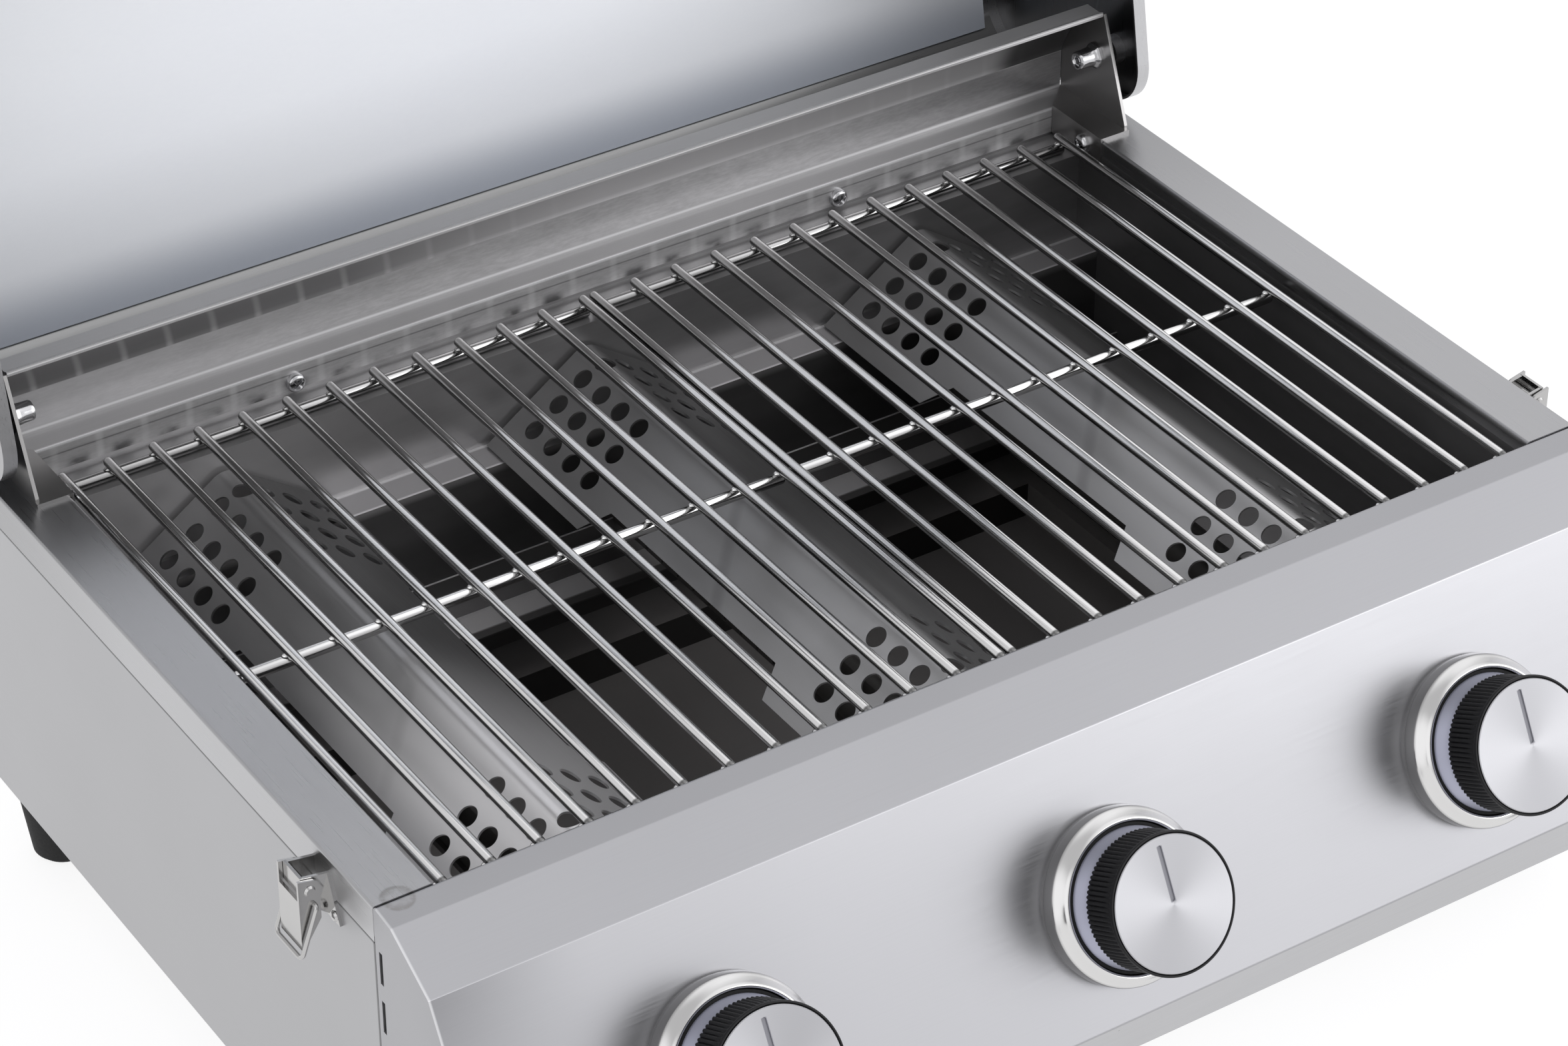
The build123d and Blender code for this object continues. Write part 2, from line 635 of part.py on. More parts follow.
def make_hinge_spacers():
    """Dark washers that hold the lid's end caps off the hinge plates."""
    pieces = []
    for sign in (-1, 1):
        frame = Plane(origin=(0, HINGE_Y, HINGE_Z), x_dir=(0, 1, 0), z_dir=(sign, 0, 0))
        near = PLATE_X + BRACKET_SHEET
        far = cap_outer_x() - LID_CAP_WIDTH - EASY_FIT
        bore = BOLT_RADIUS + RUNNING_FIT
        pieces.append(turned(frame, [(bore, near), (SPACER_RADIUS, near), (SPACER_RADIUS, far), (bore, far)]))
    return Compound(pieces)


def cap_outer_x():
    """Outer face of the lid's end cap."""
    return PLATE_X + BRACKET_SHEET + LID_CAP_GAP - SHEET + LID_CAP_WIDTH


def make_fascia():
    """Folded control panel with closed, slotted ends and holes for the valve stems."""
    corners = [
        (LIP_Y, RIM_Z - LIP_FLANGE), EDGE_A, EDGE_B, EDGE_C, EDGE_D, EDGE_E,
        (EDGE_E[0] + FASCIA_RETURN, FOOT_HEIGHT),
    ]
    sheet = folded(corners, -HALF_WIDTH, HALF_WIDTH)
    rear = (LIP_Y - PANEL_GAP, FOOT_HEIGHT)
    end_outline = [EDGE_A, EDGE_B, EDGE_C, EDGE_D, EDGE_E, (EDGE_E[0] + FASCIA_RETURN, FOOT_HEIGHT)]
    slot_y = LIP_Y - VENT_SLOT_INSET
    inset = VENT_SLOT_WIDTH / 2
    slots = []
    for number in range(VENT_SLOTS):
        z = RIM_Z - VENT_SLOT_DROP - VENT_SLOT / 2 - number * VENT_SLOT_PITCH
        slots.append(block(
            -HALF_WIDTH - OVERRUN, HALF_WIDTH + OVERRUN,
            slot_y - inset, slot_y + inset, z - VENT_SLOT / 2, z + VENT_SLOT / 2,
        ))
    ends = []
    for sign in (-1, 1):
        face = side_face(
            (LIP_Y - PANEL_GAP, RIM_Z - SHEET / 2), (EDGE_B[0], EDGE_B[1] - SHEET / 2),
            (EDGE_C[0] + SHEET / 2, EDGE_C[1] - SHEET / 2), (EDGE_D[0] + SHEET / 2, EDGE_D[1]),
            (EDGE_E[0] + SHEET / 2, FOOT_HEIGHT + SHEET / 2), rear,
        )
        x0 = sign * (HALF_WIDTH - SHEET)
        ends.append(along_x(face, x0, sign * HALF_WIDTH))
    fascia = sheet + ends[0] + ends[1]
    for slot in slots:
        fascia = fascia - slot
    for x in STATIONS.values():
        frame = panel_frame(x)
        hole = frame.location * Cylinder(STEM_HOLE_RADIUS, 2 * OVERRUN)
        fascia = fascia - hole
    frame = panel_frame(-IGNITER_LEFT)
    return fascia - frame.location * Cylinder(IGNITER_BOX_RADIUS + EASY_FIT, 2 * OVERRUN)


# Knobs and gas parts


def make_bezel(x):
    """Polished ring round a knob: a thin flange that swells into a rounded collar."""
    bore, rim, top = BEZEL_BORE_RADIUS, BEZEL_RADIUS, BEZEL_HEIGHT
    shoulder = rim - BEZEL_STEP
    middle = ((shoulder + bore) / 2 + BEZEL_STEP, top - BEZEL_STEP)
    profile = [
        Line((bore, 0), (rim, 0)),
        Line((rim, 0), (rim, BEZEL_FLANGE)),
        Line((rim, BEZEL_FLANGE), (shoulder, BEZEL_FLANGE)),
        ThreePointArc((shoulder, BEZEL_FLANGE), middle, (bore + BEZEL_STEP, top)),
        ThreePointArc(
            (bore + BEZEL_STEP, top),
            (bore + BEZEL_STEP / 4, top - BEZEL_STEP / 4),
            (bore, top - BEZEL_STEP),
        ),
        Line((bore, top - BEZEL_STEP), (bore, 0)),
    ]
    ring = revolve(Plane.XZ * make_face(profile), Axis.Z)
    return panel_frame(x).location * ring


def make_seat_rings():
    """Pale rings that lie on the panel inside the bezels."""
    rings = []
    for x in STATIONS.values():
        frame = panel_frame(x)
        outer, bore = SEAT_RING_RADIUS, SEAT_RING_BORE
        rings.append(turned(frame, [(bore, 0), (outer, 0), (outer, SEAT_RING), (bore, SEAT_RING)]))
    return Compound(rings)


def star(radius, count, depth, height):
    """A ribbed outline: a ring of teeth, as a wire at one height."""
    points = []
    for number in range(2 * count):
        angle = math.pi * number / count
        reach = radius if number % 2 == 0 else radius - depth
        points.append((reach * math.cos(angle), reach * math.sin(angle), height))
    return Polyline(*points, close=True)


def make_knob(x):
    """Black knob body: ribbed flaring skirt, thin rim round the cap's seat, and a hub."""
    base, top, face = KNOB_BASE_HEIGHT, KNOB_RIB_TOP, KNOB_FACE
    low = make_face(star(KNOB_BASE_RADIUS, KNOB_RIBS, KNOB_RIB_DEPTH, base))
    high = make_face(star(KNOB_RIB_TOP_RADIUS, KNOB_RIBS, KNOB_RIB_DEPTH, top))
    skirt = loft([low, high], ruled=True)
    rim_low = face - KNOB_RIM
    neck = KNOB_RIB_TOP_RADIUS - KNOB_RIB_DEPTH
    head = revolve(Plane.XZ * make_face(Polyline(
        (0, top), (neck, top), (KNOB_RIM_RADIUS, rim_low), (KNOB_RIM_RADIUS, face - CAP_PROUD),
        (CAP_RADIUS + EASY_FIT, face), (CAP_RADIUS + EASY_FIT, face - CAP_THICK), (0, face - CAP_THICK),
        close=True,
    )), Axis.Z)
    knob = skirt + head
    floor = face - CAP_THICK - KNOB_WALL
    hollow_low = KNOB_BASE_RADIUS - KNOB_RIB_DEPTH - KNOB_WALL
    hollow_high = neck - KNOB_WALL
    hollow = revolve(Plane.XZ * make_face(Polyline(
        (KNOB_HUB_RADIUS, base - OVERRUN), (hollow_low, base - OVERRUN), (hollow_low, base),
        (hollow_high, top), (hollow_high, floor), (KNOB_HUB_RADIUS, floor), close=True,
    )), Axis.Z)
    knob = knob - hollow - stem_shape(base - OVERRUN, base + STEM_IN_KNOB + KNOB_PUSH, RUNNING_FIT)
    return panel_frame(x).location * knob


def stem_shape(low, high, extra):
    """A valve stem with one flat, between two heights."""
    height = high - low
    radius = STEM_RADIUS + extra
    shaft = Pos(0, 0, (low + high) / 2) * Cylinder(radius, height)
    flat_y = STEM_RADIUS - STEM_FLAT + extra
    return shaft - block(-radius, radius, flat_y, flat_y + radius, low, high)


def make_stem(x):
    """Turning stem of one valve: round in the valve and flatted in the knob."""
    low = -VALVE_DEPTH - STEM_IN_VALVE
    top = KNOB_BASE_HEIGHT + STEM_IN_KNOB
    plain = Pos(0, 0, (low - VALVE_DEPTH) / 2) * Cylinder(STEM_RADIUS, STEM_IN_VALVE)
    return panel_frame(x).location * (plain + stem_shape(-VALVE_DEPTH, top, 0))


def make_cap(x):
    """Brushed metal disc on the knob's face with an engraved pointer line."""
    low, high = KNOB_FACE - CAP_THICK, KNOB_FACE + CAP_PROUD
    disc = Pos(0, 0, (low + high) / 2) * Cylinder(CAP_RADIUS, high - low)
    disc = chamfer(disc.edges().group_by(Axis.Z)[-1], CAP_PROUD)
    length = POINTER_OUTER - POINTER_INNER
    middle = (POINTER_OUTER + POINTER_INNER) / 2
    line = Pos(0, middle, high) * Rot(0, 0, 90) * SlotOverall(length, POINTER_WIDTH)
    return panel_frame(x).location * (disc - extrude(line, -POINTER_DEPTH))


def valve_centre(x):
    """Middle of one valve body."""
    return panel_point(x, KNOB_DOWN, -VALVE_DEPTH - VALVE_LENGTH / 2)


def burner_z():
    """Height of the burners: level with the valves' outlets."""
    return valve_centre(0).Z


def make_valves():
    """Brass gas valves: body, neck towards the knob and an outlet into the burner."""
    valves = []
    for x in STATIONS.values():
        frame = panel_frame(x)
        low = -VALVE_DEPTH - VALVE_LENGTH
        shape = turned(frame, [
            (0, low), (VALVE_RADIUS, low), (VALVE_RADIUS, -VALVE_DEPTH - VALVE_NECK_RADIUS),
            (VALVE_NECK_RADIUS, -VALVE_DEPTH), (0, -VALVE_DEPTH),
        ])
        centre = valve_centre(x)
        mouth = burner_mouth_y()
        outlet = bar((x, centre.Y, centre.Z), (x, mouth + BURNER_MOUTH_GAP, centre.Z), VALVE_OUTLET_RADIUS)
        bore = frame.location * Pos(0, 0, -VALVE_DEPTH) * Cylinder(STEM_RADIUS + RUNNING_FIT, 2 * STEM_IN_VALVE)
        valves.append(shape + outlet - bore - manifold_run(EASY_FIT))
    return Compound(valves)


def manifold_place():
    """Axis of the gas manifold, as (y, z): under the valves."""
    centre = valve_centre(0)
    below = VALVE_RADIUS + MANIFOLD_RADIUS - SHEET
    return centre.Y, centre.Z - below


def manifold_run(extra):
    """The manifold's outer cylinder, grown a little where it has to be cleared."""
    y, z = manifold_place()
    reach = KNOB_PITCH + MANIFOLD_OVERHANG
    return bar((-reach, y, z), (reach, y, z), MANIFOLD_RADIUS + extra)


def burner_mouth_y():
    """Front end of the burners, just behind the valve bodies."""
    return valve_centre(0).Y + VALVE_RADIUS + BURNER_MOUTH_GAP


def make_manifold():
    """Straight gas manifold with closed ends."""
    return manifold_run(0)


def supply_place():
    """Where the supply tube crosses the rear panel, as (x, z)."""
    y, z = manifold_place()
    return (INNER_X + SHEET + HALF_WIDTH - SHEET) / 2, z


def make_supply_tube():
    """Steel tube from the manifold's end, round the corner and back beside the firebox."""
    y, z = manifold_place()
    x, _ = supply_place()
    start = KNOB_PITCH + MANIFOLD_OVERHANG
    route = FilletPolyline((start, y, z), (x, y, z), (x, REAR_Y, z), radius=SUPPLY_BEND)
    section = Plane(origin=(start, y, z), z_dir=(1, 0, 0)) * Circle(SUPPLY_RADIUS)
    return sweep(section, path=route)


def make_gas_inlet():
    """Brass inlet on the back: a hexagon against the panel and a threaded stud for a hose."""
    x, z = supply_place()
    frame = Plane(origin=(x, REAR_Y, z), x_dir=(1, 0, 0), z_dir=(0, 1, 0))
    across = INLET_HEX / 2
    hexagon = extrude(RegularPolygon(across, 6, major_radius=False), INLET_HEX_LENGTH)
    stud = Pos(0, 0, INLET_HEX_LENGTH) * extrude(Circle(INLET_STUD_RADIUS), INLET_STUD)
    body = hexagon + stud
    body = body - extrude(Circle(INLET_BORE_RADIUS), INLET_HEX_LENGTH + INLET_STUD + OVERRUN)
    return frame.location * body


def make_burner(x):
    """Tube burner with slotted port bars along both sides and air slots at its mouth."""
    z = burner_z()
    front, rear = burner_mouth_y(), LOW_REAR_Y - BURNER_REAR_GAP
    tube = bar((x, front, z), (x, rear, z), BURNER_RADIUS)
    hollow = bar((x, front - OVERRUN, z), (x, rear - BURNER_WALL, z), BURNER_RADIUS - BURNER_WALL)
    reach = BURNER_RADIUS + PORT_BAR
    bar_front = LOW_FRONT_Y + PORT_PITCH
    ports = block(
        x - reach, x + reach, bar_front, rear - PORT_PITCH,
        z - PORT_BAR_HEIGHT / 2, z + PORT_BAR_HEIGHT / 2,
    )
    burner = tube + ports - hollow
    count = int((rear - PORT_PITCH - bar_front) / PORT_PITCH)
    slots = []
    for number in range(count):
        y = bar_front + (number + 1 / 2) * PORT_PITCH
        slots.append(block(
            x - reach - OVERRUN, x + reach + OVERRUN, y, y + PORT_SLOT,
            z - PORT_BAR_HEIGHT / 4, z + PORT_BAR_HEIGHT / 4,
        ))
    air_y = front + AIR_SLOT
    air = block(
        x - reach - OVERRUN, x + reach + OVERRUN, air_y, air_y + AIR_SLOT,
        z - AIR_SLOT_WIDTH / 2, z + AIR_SLOT_WIDTH / 2,
    )
    return burner - union(slots) - air


def make_burner_rail():
    """Folded strip on the firebox floor with a round seat under each burner's rear end."""
    z = burner_z()
    y = LOW_REAR_Y - FLOOR_LEDGE / 2
    web = block(-INNER_X, INNER_X, y, y + SHEET, FLOOR_Z, z)
    foot = block(-INNER_X, INNER_X, y, y + FLOOR_LEDGE / 3, FLOOR_Z, FLOOR_Z + SHEET)
    rail = web + foot
    for x in STATIONS.values():
        seat = bar((x, y - OVERRUN, z), (x, y + FLOOR_LEDGE, z), BURNER_RADIUS + PORT_BAR + EASY_FIT)
        rail = rail - seat
    return rail


def tamer_section():
    """Roof section of a flame tamer in its own (x, z), with a rounded ridge."""
    half = TAMER_WIDTH / 2
    line = FilletPolyline((-half, 0), (0, TAMER_RISE), (half, 0), radius=TAMER_RIDGE_RADIUS)
    return make_face(offset(line, amount=SHEET, side=Side.RIGHT))


def make_tamer(x):
    """Perforated roof over a burner: hole grids at both ends and a long notch in each edge."""
    rear = FIRE_REAR_Y - TAMER_GAP
    front = FIRE_FRONT_Y + TAMER_GAP
    base = TAMER_LEDGE_Z + SHEET
    frame = Plane(origin=(x, rear, base), x_dir=(1, 0, 0), z_dir=(0, -1, 0))
    roof = extrude(frame * tamer_section(), rear - front)
    half = TAMER_WIDTH / 2
    slope = math.atan2(TAMER_RISE, half)
    tools = []
    for sign in (-1, 1):
        normal = Vector(sign * math.sin(slope), 0, math.cos(slope))
        down = Vector(sign * math.cos(slope), 0, -math.sin(slope))
        for row in range(TAMER_HOLE_ROWS):
            run = TAMER_HOLE_FIRST_ROW + row * TAMER_HOLE_PITCH
            for number in range(TAMER_HOLES_PER_ROW):
                step = number * TAMER_HOLE_PITCH
                for y in (rear - TAMER_HOLE_REAR_END - step, front + TAMER_HOLE_FRONT_END + step):
                    place = Vector(x, y, base + TAMER_RISE) + down * run
                    tools.append(bar(place - normal * OVERRUN, place + normal * OVERRUN, TAMER_HOLE_RADIUS))
    top = base + TAMER_RISE
    for y in (rear - RIDGE_HOLE_END, front + RIDGE_HOLE_END):
        tools.append(bar((x, y, top - 2 * OVERRUN), (x, y, top + OVERRUN), TAMER_HOLE_RADIUS))
    middle = (rear + front) / 2
    notch_half = TAMER_NOTCH / 2
    notch = side_face(
        (middle - notch_half, base - 2 * OVERRUN), (middle - notch_half, base),
        (middle - notch_half + TAMER_NOTCH_DEPTH, base + TAMER_NOTCH_DEPTH),
        (middle + notch_half - TAMER_NOTCH_DEPTH, base + TAMER_NOTCH_DEPTH),
        (middle + notch_half, base), (middle + notch_half, base - 2 * OVERRUN),
    )
    tools.append(along_x(notch, x - half - OVERRUN, x + half + OVERRUN))
    return roof - tools


def make_grate(sign):
    """One cooking grate: parallel rods that lie welded on three crossbars."""
    span = (RODS_PER_GRATE - 1) * ROD_PITCH
    first = GRATE_GAP / 2 if sign > 0 else -GRATE_GAP / 2 - span
    bar_z = GRATE_LEDGE_Z + CROSSBAR_RADIUS
    rod_z = bar_z + CROSSBAR_RADIUS + ROD_RADIUS
    rod = bar((0, 0, 0), (0, -GRATE_LENGTH, 0), ROD_RADIUS)
    rod = chamfer(rod.edges().filter_by(GeomType.CIRCLE), ROD_END_CHAMFER)
    rods = [Pos(first + number * ROD_PITCH, 0, rod_z) * rod for number in range(RODS_PER_GRATE)]
    bars = []
    for y in (-CROSSBAR_REAR, -GRATE_LENGTH / 2, -GRATE_LENGTH + CROSSBAR_FRONT):
        ends = (first - ROD_RADIUS / 2, first + span + ROD_RADIUS / 2)
        bars.append(bar((ends[0], y, bar_z), (ends[1], y, bar_z), CROSSBAR_RADIUS))
    return Compound(bars + rods)


# Igniter


def make_igniter_bezel():
    """Chromed collar round the igniter's push button, with its battery holder behind the panel."""
    frame = panel_frame(-IGNITER_LEFT)
    bore = IGNITER_BUTTON_RADIUS + RUNNING_FIT
    return turned(frame, [
        (bore, 0), (IGNITER_BEZEL_RADIUS, 0), (IGNITER_BEZEL_RADIUS, IGNITER_BEZEL / 2),
        (IGNITER_BEZEL_RADIUS - IGNITER_BEZEL / 2, IGNITER_BEZEL), (bore, IGNITER_BEZEL),
    ])


def make_igniter_box():
    """Battery holder behind the panel, with a well for the button."""
    frame = panel_frame(-IGNITER_LEFT)
    well = IGNITER_BUTTON_IN + IGNITER_PUSH + EASY_FIT
    bore = IGNITER_BUTTON_RADIUS + RUNNING_FIT
    return turned(frame, [
        (0, -IGNITER_BOX), (IGNITER_BOX_RADIUS, -IGNITER_BOX), (IGNITER_BOX_RADIUS, 0),
        (bore, 0), (bore, -well), (0, -well),
    ])


def make_igniter_button():
    """Round push button with a softened front edge."""
    low, high = -IGNITER_BUTTON_IN, IGNITER_BUTTON_PROUD
    button = Pos(0, 0, (low + high) / 2) * Cylinder(IGNITER_BUTTON_RADIUS, high - low)
    button = fillet(button.edges().group_by(Axis.Z)[-1], FOOT_EDGE_RADIUS)
    return panel_frame(-IGNITER_LEFT).location * button


def make_electrodes():
    """Ceramic spark electrodes clipped to the firebox front wall, one beside each burner."""
    pieces = []
    z = burner_z() + BURNER_RADIUS + ELECTRODE_RADIUS
    for x in STATIONS.values():
        y = LOW_FRONT_Y
        aside = x + BURNER_RADIUS + ELECTRODE_RADIUS
        body = bar((aside, y, z), (aside, y + ELECTRODE_LENGTH, z), ELECTRODE_RADIUS)
        end = y + ELECTRODE_LENGTH
        tip = bar((aside, end, z), (aside, end + ELECTRODE_TIP, z), ELECTRODE_TIP_RADIUS)
        pieces.append(body + tip)
    return Compound(pieces)


# Drip tray


def tray_lip_z():
    """Underside of the tray's lip, which rides on the runners."""
    return FLOOR_Z - TRAY_TOP_DROP


def make_runners():
    """Two angle rails under the firebox floor that carry the tray's lips."""
    rails = []
    z = tray_lip_z()
    for sign in (-1, 1):
        web_x = TRAY_HALF + TRAY_LIP + RUNNER_GAP
        front, rear = LOW_FRONT_Y, REAR_Y - SHEET - PANEL_GAP
        web = block(sign * web_x, sign * (web_x + SHEET), front, LOW_REAR_Y, z - SHEET, FLOOR_Z - SHEET)
        low_web = block(sign * web_x, sign * (web_x + SHEET), front, rear, z - SHEET, z + FLOOR_LIP)
        ledge = block(sign * (web_x - RUNNER_LEDGE), sign * web_x, front, rear, z - SHEET, z)
        rails.append(web + low_web + ledge)
    return Compound(rails)


def make_drip_tray():
    """Shallow pan under the floor's opening, with an apron back to its face and pull."""
    t = SHEET
    z = tray_lip_z()
    rear = HOLE_REAR_Y - TRAY_REAR_SET
    front = HOLE_FRONT_Y - TRAY_FRONT_SET
    pan = block(-TRAY_HALF, TRAY_HALF, front, rear, z - TRAY_DEPTH, z + t)
    inside = block(
        -TRAY_HALF + t, TRAY_HALF - t, front + t, rear - t, z - TRAY_DEPTH + t, z + t + OVERRUN,
    )
    lips = block(-TRAY_HALF - TRAY_LIP, TRAY_HALF + TRAY_LIP, front, rear, z, z + t)
    apron = block(-TRAY_HALF - TRAY_LIP, TRAY_HALF + TRAY_LIP, rear - t, REAR_Y + t, z, z + t)
    half = TRAY_HALF + TRAY_LIP + TRAY_FACE_OVERLAP
    face_low = z - TRAY_DEPTH - RUNNER_GAP
    face = block(-half, half, REAR_Y + PANEL_GAP, REAR_Y + PANEL_GAP + t, face_low, z + TRAY_FACE_OVERLAP)
    pull = block(
        -TRAY_PULL_WIDTH / 2, TRAY_PULL_WIDTH / 2,
        REAR_Y + PANEL_GAP, REAR_Y + TRAY_PULL, z + TRAY_FACE_OVERLAP - t, z + TRAY_FACE_OVERLAP,
    )
    curl = block(
        -TRAY_PULL_WIDTH / 2, TRAY_PULL_WIDTH / 2, REAR_Y + TRAY_PULL - t, REAR_Y + TRAY_PULL,
        z - TRAY_FACE_OVERLAP, z + TRAY_FACE_OVERLAP,
    )
    tray = pan + lips - inside + apron
    return tray + face + pull + curl


# Feet and screws


def foot_places():
    """Centres of the four feet."""
    x = HALF_WIDTH - FOOT_INSET
    rear = REAR_Y - FOOT_INSET
    front = EDGE_E[0] + FASCIA_RETURN + FOOT_FRONT_INSET
    return [(-x, rear), (x, rear), (-x, front), (x, front)]


def make_feet():
    """Tapered rubber feet, hollowed for their screws."""
    feet = []
    for x, y in foot_places():
        frame = Plane(origin=(x, y, 0))
        outline = [
            (FOOT_SCREW_RADIUS, FOOT_SCREW_HEAD * 2), (FOOT_SCREW_HEAD_RADIUS + EASY_FIT, FOOT_SCREW_HEAD * 2),
            (FOOT_SCREW_HEAD_RADIUS + EASY_FIT, 0), (FOOT_BOTTOM_RADIUS - FOOT_EDGE_RADIUS, 0),
            (FOOT_BOTTOM_RADIUS, FOOT_EDGE_RADIUS), (FOOT_TOP_RADIUS, FOOT_HEIGHT),
            (FOOT_SCREW_RADIUS, FOOT_HEIGHT),
        ]
        feet.append(turned(frame, outline))
    return Compound(feet)


def make_foot_screws():
    """Screws up through the feet, with their heads sunk in the rubber."""
    screws = []
    for x, y in foot_places():
        frame = Plane(origin=(x, y, 0))
        low = FOOT_SCREW_HEAD
        outline = [
            (0, low), (FOOT_SCREW_HEAD_RADIUS, low), (FOOT_SCREW_HEAD_RADIUS, low + FOOT_SCREW_HEAD),
            (FOOT_SCREW_RADIUS, low + FOOT_SCREW_HEAD), (FOOT_SCREW_RADIUS, FOOT_HEIGHT), (0, FOOT_HEIGHT),
        ]
        screws.append(turned(frame, outline))
    return Compound(screws)


def screw_outline():
    """Half section of a pan-head screw: head along +Z from 0, shank below."""
    return [
        (0, -SCREW_SHANK), (SCREW_SHANK_RADIUS, -SCREW_SHANK), (SCREW_SHANK_RADIUS, 0), (SCREW_RADIUS, 0),
        (SCREW_RADIUS, SCREW_HEAD / 3), (SCREW_RADIUS * 3 / 4, SCREW_HEAD * 4 / 5), (0, SCREW_HEAD),
    ]


def make_panel_screws():
    """Pan-head screws that show inside: two in the back wall and one in each bracket."""
    screws = []
    for sign in (-1, 1):
        place = (sign * WALL_SCREW_X, SKIRT_Y, RIM_Z - WALL_SCREW_DROP)
        screws.append(turned(Plane(origin=place, x_dir=(1, 0, 0), z_dir=(0, -1, 0)), screw_outline()))
        y, z = bracket_screw_place()
        place = (sign * (INNER_X - SHEET), y, z)
        screws.append(turned(Plane(origin=place, x_dir=(0, 1, 0), z_dir=(-sign, 0, 0)), screw_outline()))
    return Compound(screws)


# Lid, drawn shut and swung open at the end


def lid_extents():
    """Rear, front, bottom and top of the shut lid's side view."""
    top = HINGE_Z + LID_LINER_UP + LID_LINER_GAP
    return HINGE_Y + LID_REAR, LIP_Y - LID_FRONT_OVERLAP, HINGE_Z - LID_EDGE_DROP, top


def lid_corners():
    """Corners of the shut lid's side view, as (y, z), from the rear bottom round to the front."""
    rear, front, bottom, top = lid_extents()
    brow = (front, bottom + LID_FRONT_WALL)
    crest = (front + LID_FRONT_SLOPE, top)
    return [(rear, bottom), (rear, top), crest, brow, (front, bottom)]


def inset_corner(before, corner, after, inset):
    """A corner moved inwards so that both of the lines that meet there move by the same distance."""
    into = (Vector(*corner) - Vector(*before)).normalized()
    away = (Vector(*after) - Vector(*corner)).normalized()
    first, second = Vector(-into.Y, into.X), Vector(-away.Y, away.X)
    moved = Vector(*corner) + (first + second) * (inset / (1 + first.dot(second)))
    return moved.X, moved.Y


def make_lid_shell():
    """Outer skin of the lid between its end caps."""
    half = cap_outer_x() - LID_CAP_WIDTH
    below, *corners = lid_corners()
    start = (below[0], HINGE_Z + LID_SHELL_START)
    bends = (LID_TOP_CORNER, LID_FRONT_CORNER, LID_FRONT_CORNER)
    wire = FilletPolyline(start, *corners, radius=bends)
    outline = offset(wire, amount=LID_SHEET, side=Side.LEFT)
    return opened(along_x(Plane.YZ * make_face(outline), -half, half))


def make_lid_liner():
    """Bright inner skin under the shell, with turned-down ends."""
    half = cap_outer_x() - LID_CAP_WIDTH - LINER_END_GAP
    inset = LID_LINER_GAP - LID_SHEET
    rear, front, bottom, top = lid_extents()
    corners = lid_corners()
    start = (rear - LID_LINER_REAR_GAP, top - inset)
    crest = inset_corner(*corners[1:4], inset)
    brow = inset_corner(*corners[2:5], inset)
    low = (front + inset, bottom + LID_FRONT_WALL / 2)
    wire = FilletPolyline(start, crest, brow, low, radius=LID_FRONT_CORNER - inset)
    skin = along_x(Plane.YZ * make_face(offset(wire, amount=LID_SHEET, side=Side.LEFT)), -half, half)
    deep = LID_LINER_GAP - 2 * LID_SHEET - PANEL_GAP
    past_bend = (rear - LID_TOP_CORNER, top - inset)
    edge = FilletPolyline(past_bend, crest, brow, low, radius=LID_FRONT_CORNER - inset)
    band = Plane.YZ * make_face(offset(edge, amount=deep, side=Side.RIGHT))
    left = along_x(band, -half, -half + LID_SHEET)
    right = along_x(band, half - LID_SHEET, half)
    spacer_y = (start[0] + crest[0]) / 2
    strips = []
    for y in (start[0] - 2 * LINER_FLANGE, spacer_y, crest[0] + 2 * LINER_FLANGE):
        strips.append(block(
            -half, half, y - LINER_FLANGE / 2, y + LINER_FLANGE / 2, top - inset, top - LID_SHEET,
        ))
    return opened(union([skin, left, right, *strips]))


def cap_outline():
    """Closed side view of an end cap, with a corner rounded about the hinge."""
    corners = lid_corners()
    face = make_face(Polyline(*corners, close=True))
    bends = (LID_CAP_CORNER, LID_TOP_CORNER, LID_FRONT_CORNER, LID_FRONT_CORNER)
    for place, radius in zip(corners, bends):
        corner = face.vertices().sort_by_distance((*place, 0))[0]
        face = fillet(corner, radius)
    return face


def make_end_cap(sign):
    """Pan-shaped end of the lid: a flat side with its edge turned in all round."""
    out = cap_outer_x()
    outer = along_x(Plane.YZ * cap_outline(), out - LID_CAP_WIDTH, out)
    inner_face = offset(cap_outline(), amount=-LID_SHEET)
    inner = along_x(Plane.YZ * inner_face, out - LID_CAP_WIDTH - OVERRUN, out - LID_SHEET)
    cap = outer - inner
    boss = bar(
        (out - LID_CAP_WIDTH, HINGE_Y, HINGE_Z), (out, HINGE_Y, HINGE_Z), BOLT_HEAD_RADIUS,
    )
    bore = bar(
        (out - LID_CAP_WIDTH - OVERRUN, HINGE_Y, HINGE_Z), (out + OVERRUN, HINGE_Y, HINGE_Z),
        BOLT_RADIUS + RUNNING_FIT,
    )
    cap = opened(cap + boss - bore)
    return cap if sign > 0 else mirrored(cap)


def handle_frame():
    """Frame on the lid's sloping front whose Z points out of the slope."""
    _, _, crest, brow, _ = [Vector(0, *corner) for corner in lid_corners()]
    along = (crest - brow).normalized()
    out = Vector(0, -along.Z, along.Y)
    return Plane(origin=(brow + crest) * (1 / 2), x_dir=(1, 0, 0), z_dir=out)


def make_handle_bar():
    """Tubular lid handle with closed ends."""
    frame = handle_frame()
    half = HANDLE_LENGTH / 2
    tube = bar((-half, 0, HANDLE_STANDOFF), (half, 0, HANDLE_STANDOFF), HANDLE_RADIUS)
    hollow = bar(
        (-half + HANDLE_CAP, 0, HANDLE_STANDOFF), (half - HANDLE_CAP, 0, HANDLE_STANDOFF),
        HANDLE_RADIUS - HANDLE_WALL,
    )
    return opened(frame.location * (tube - hollow))


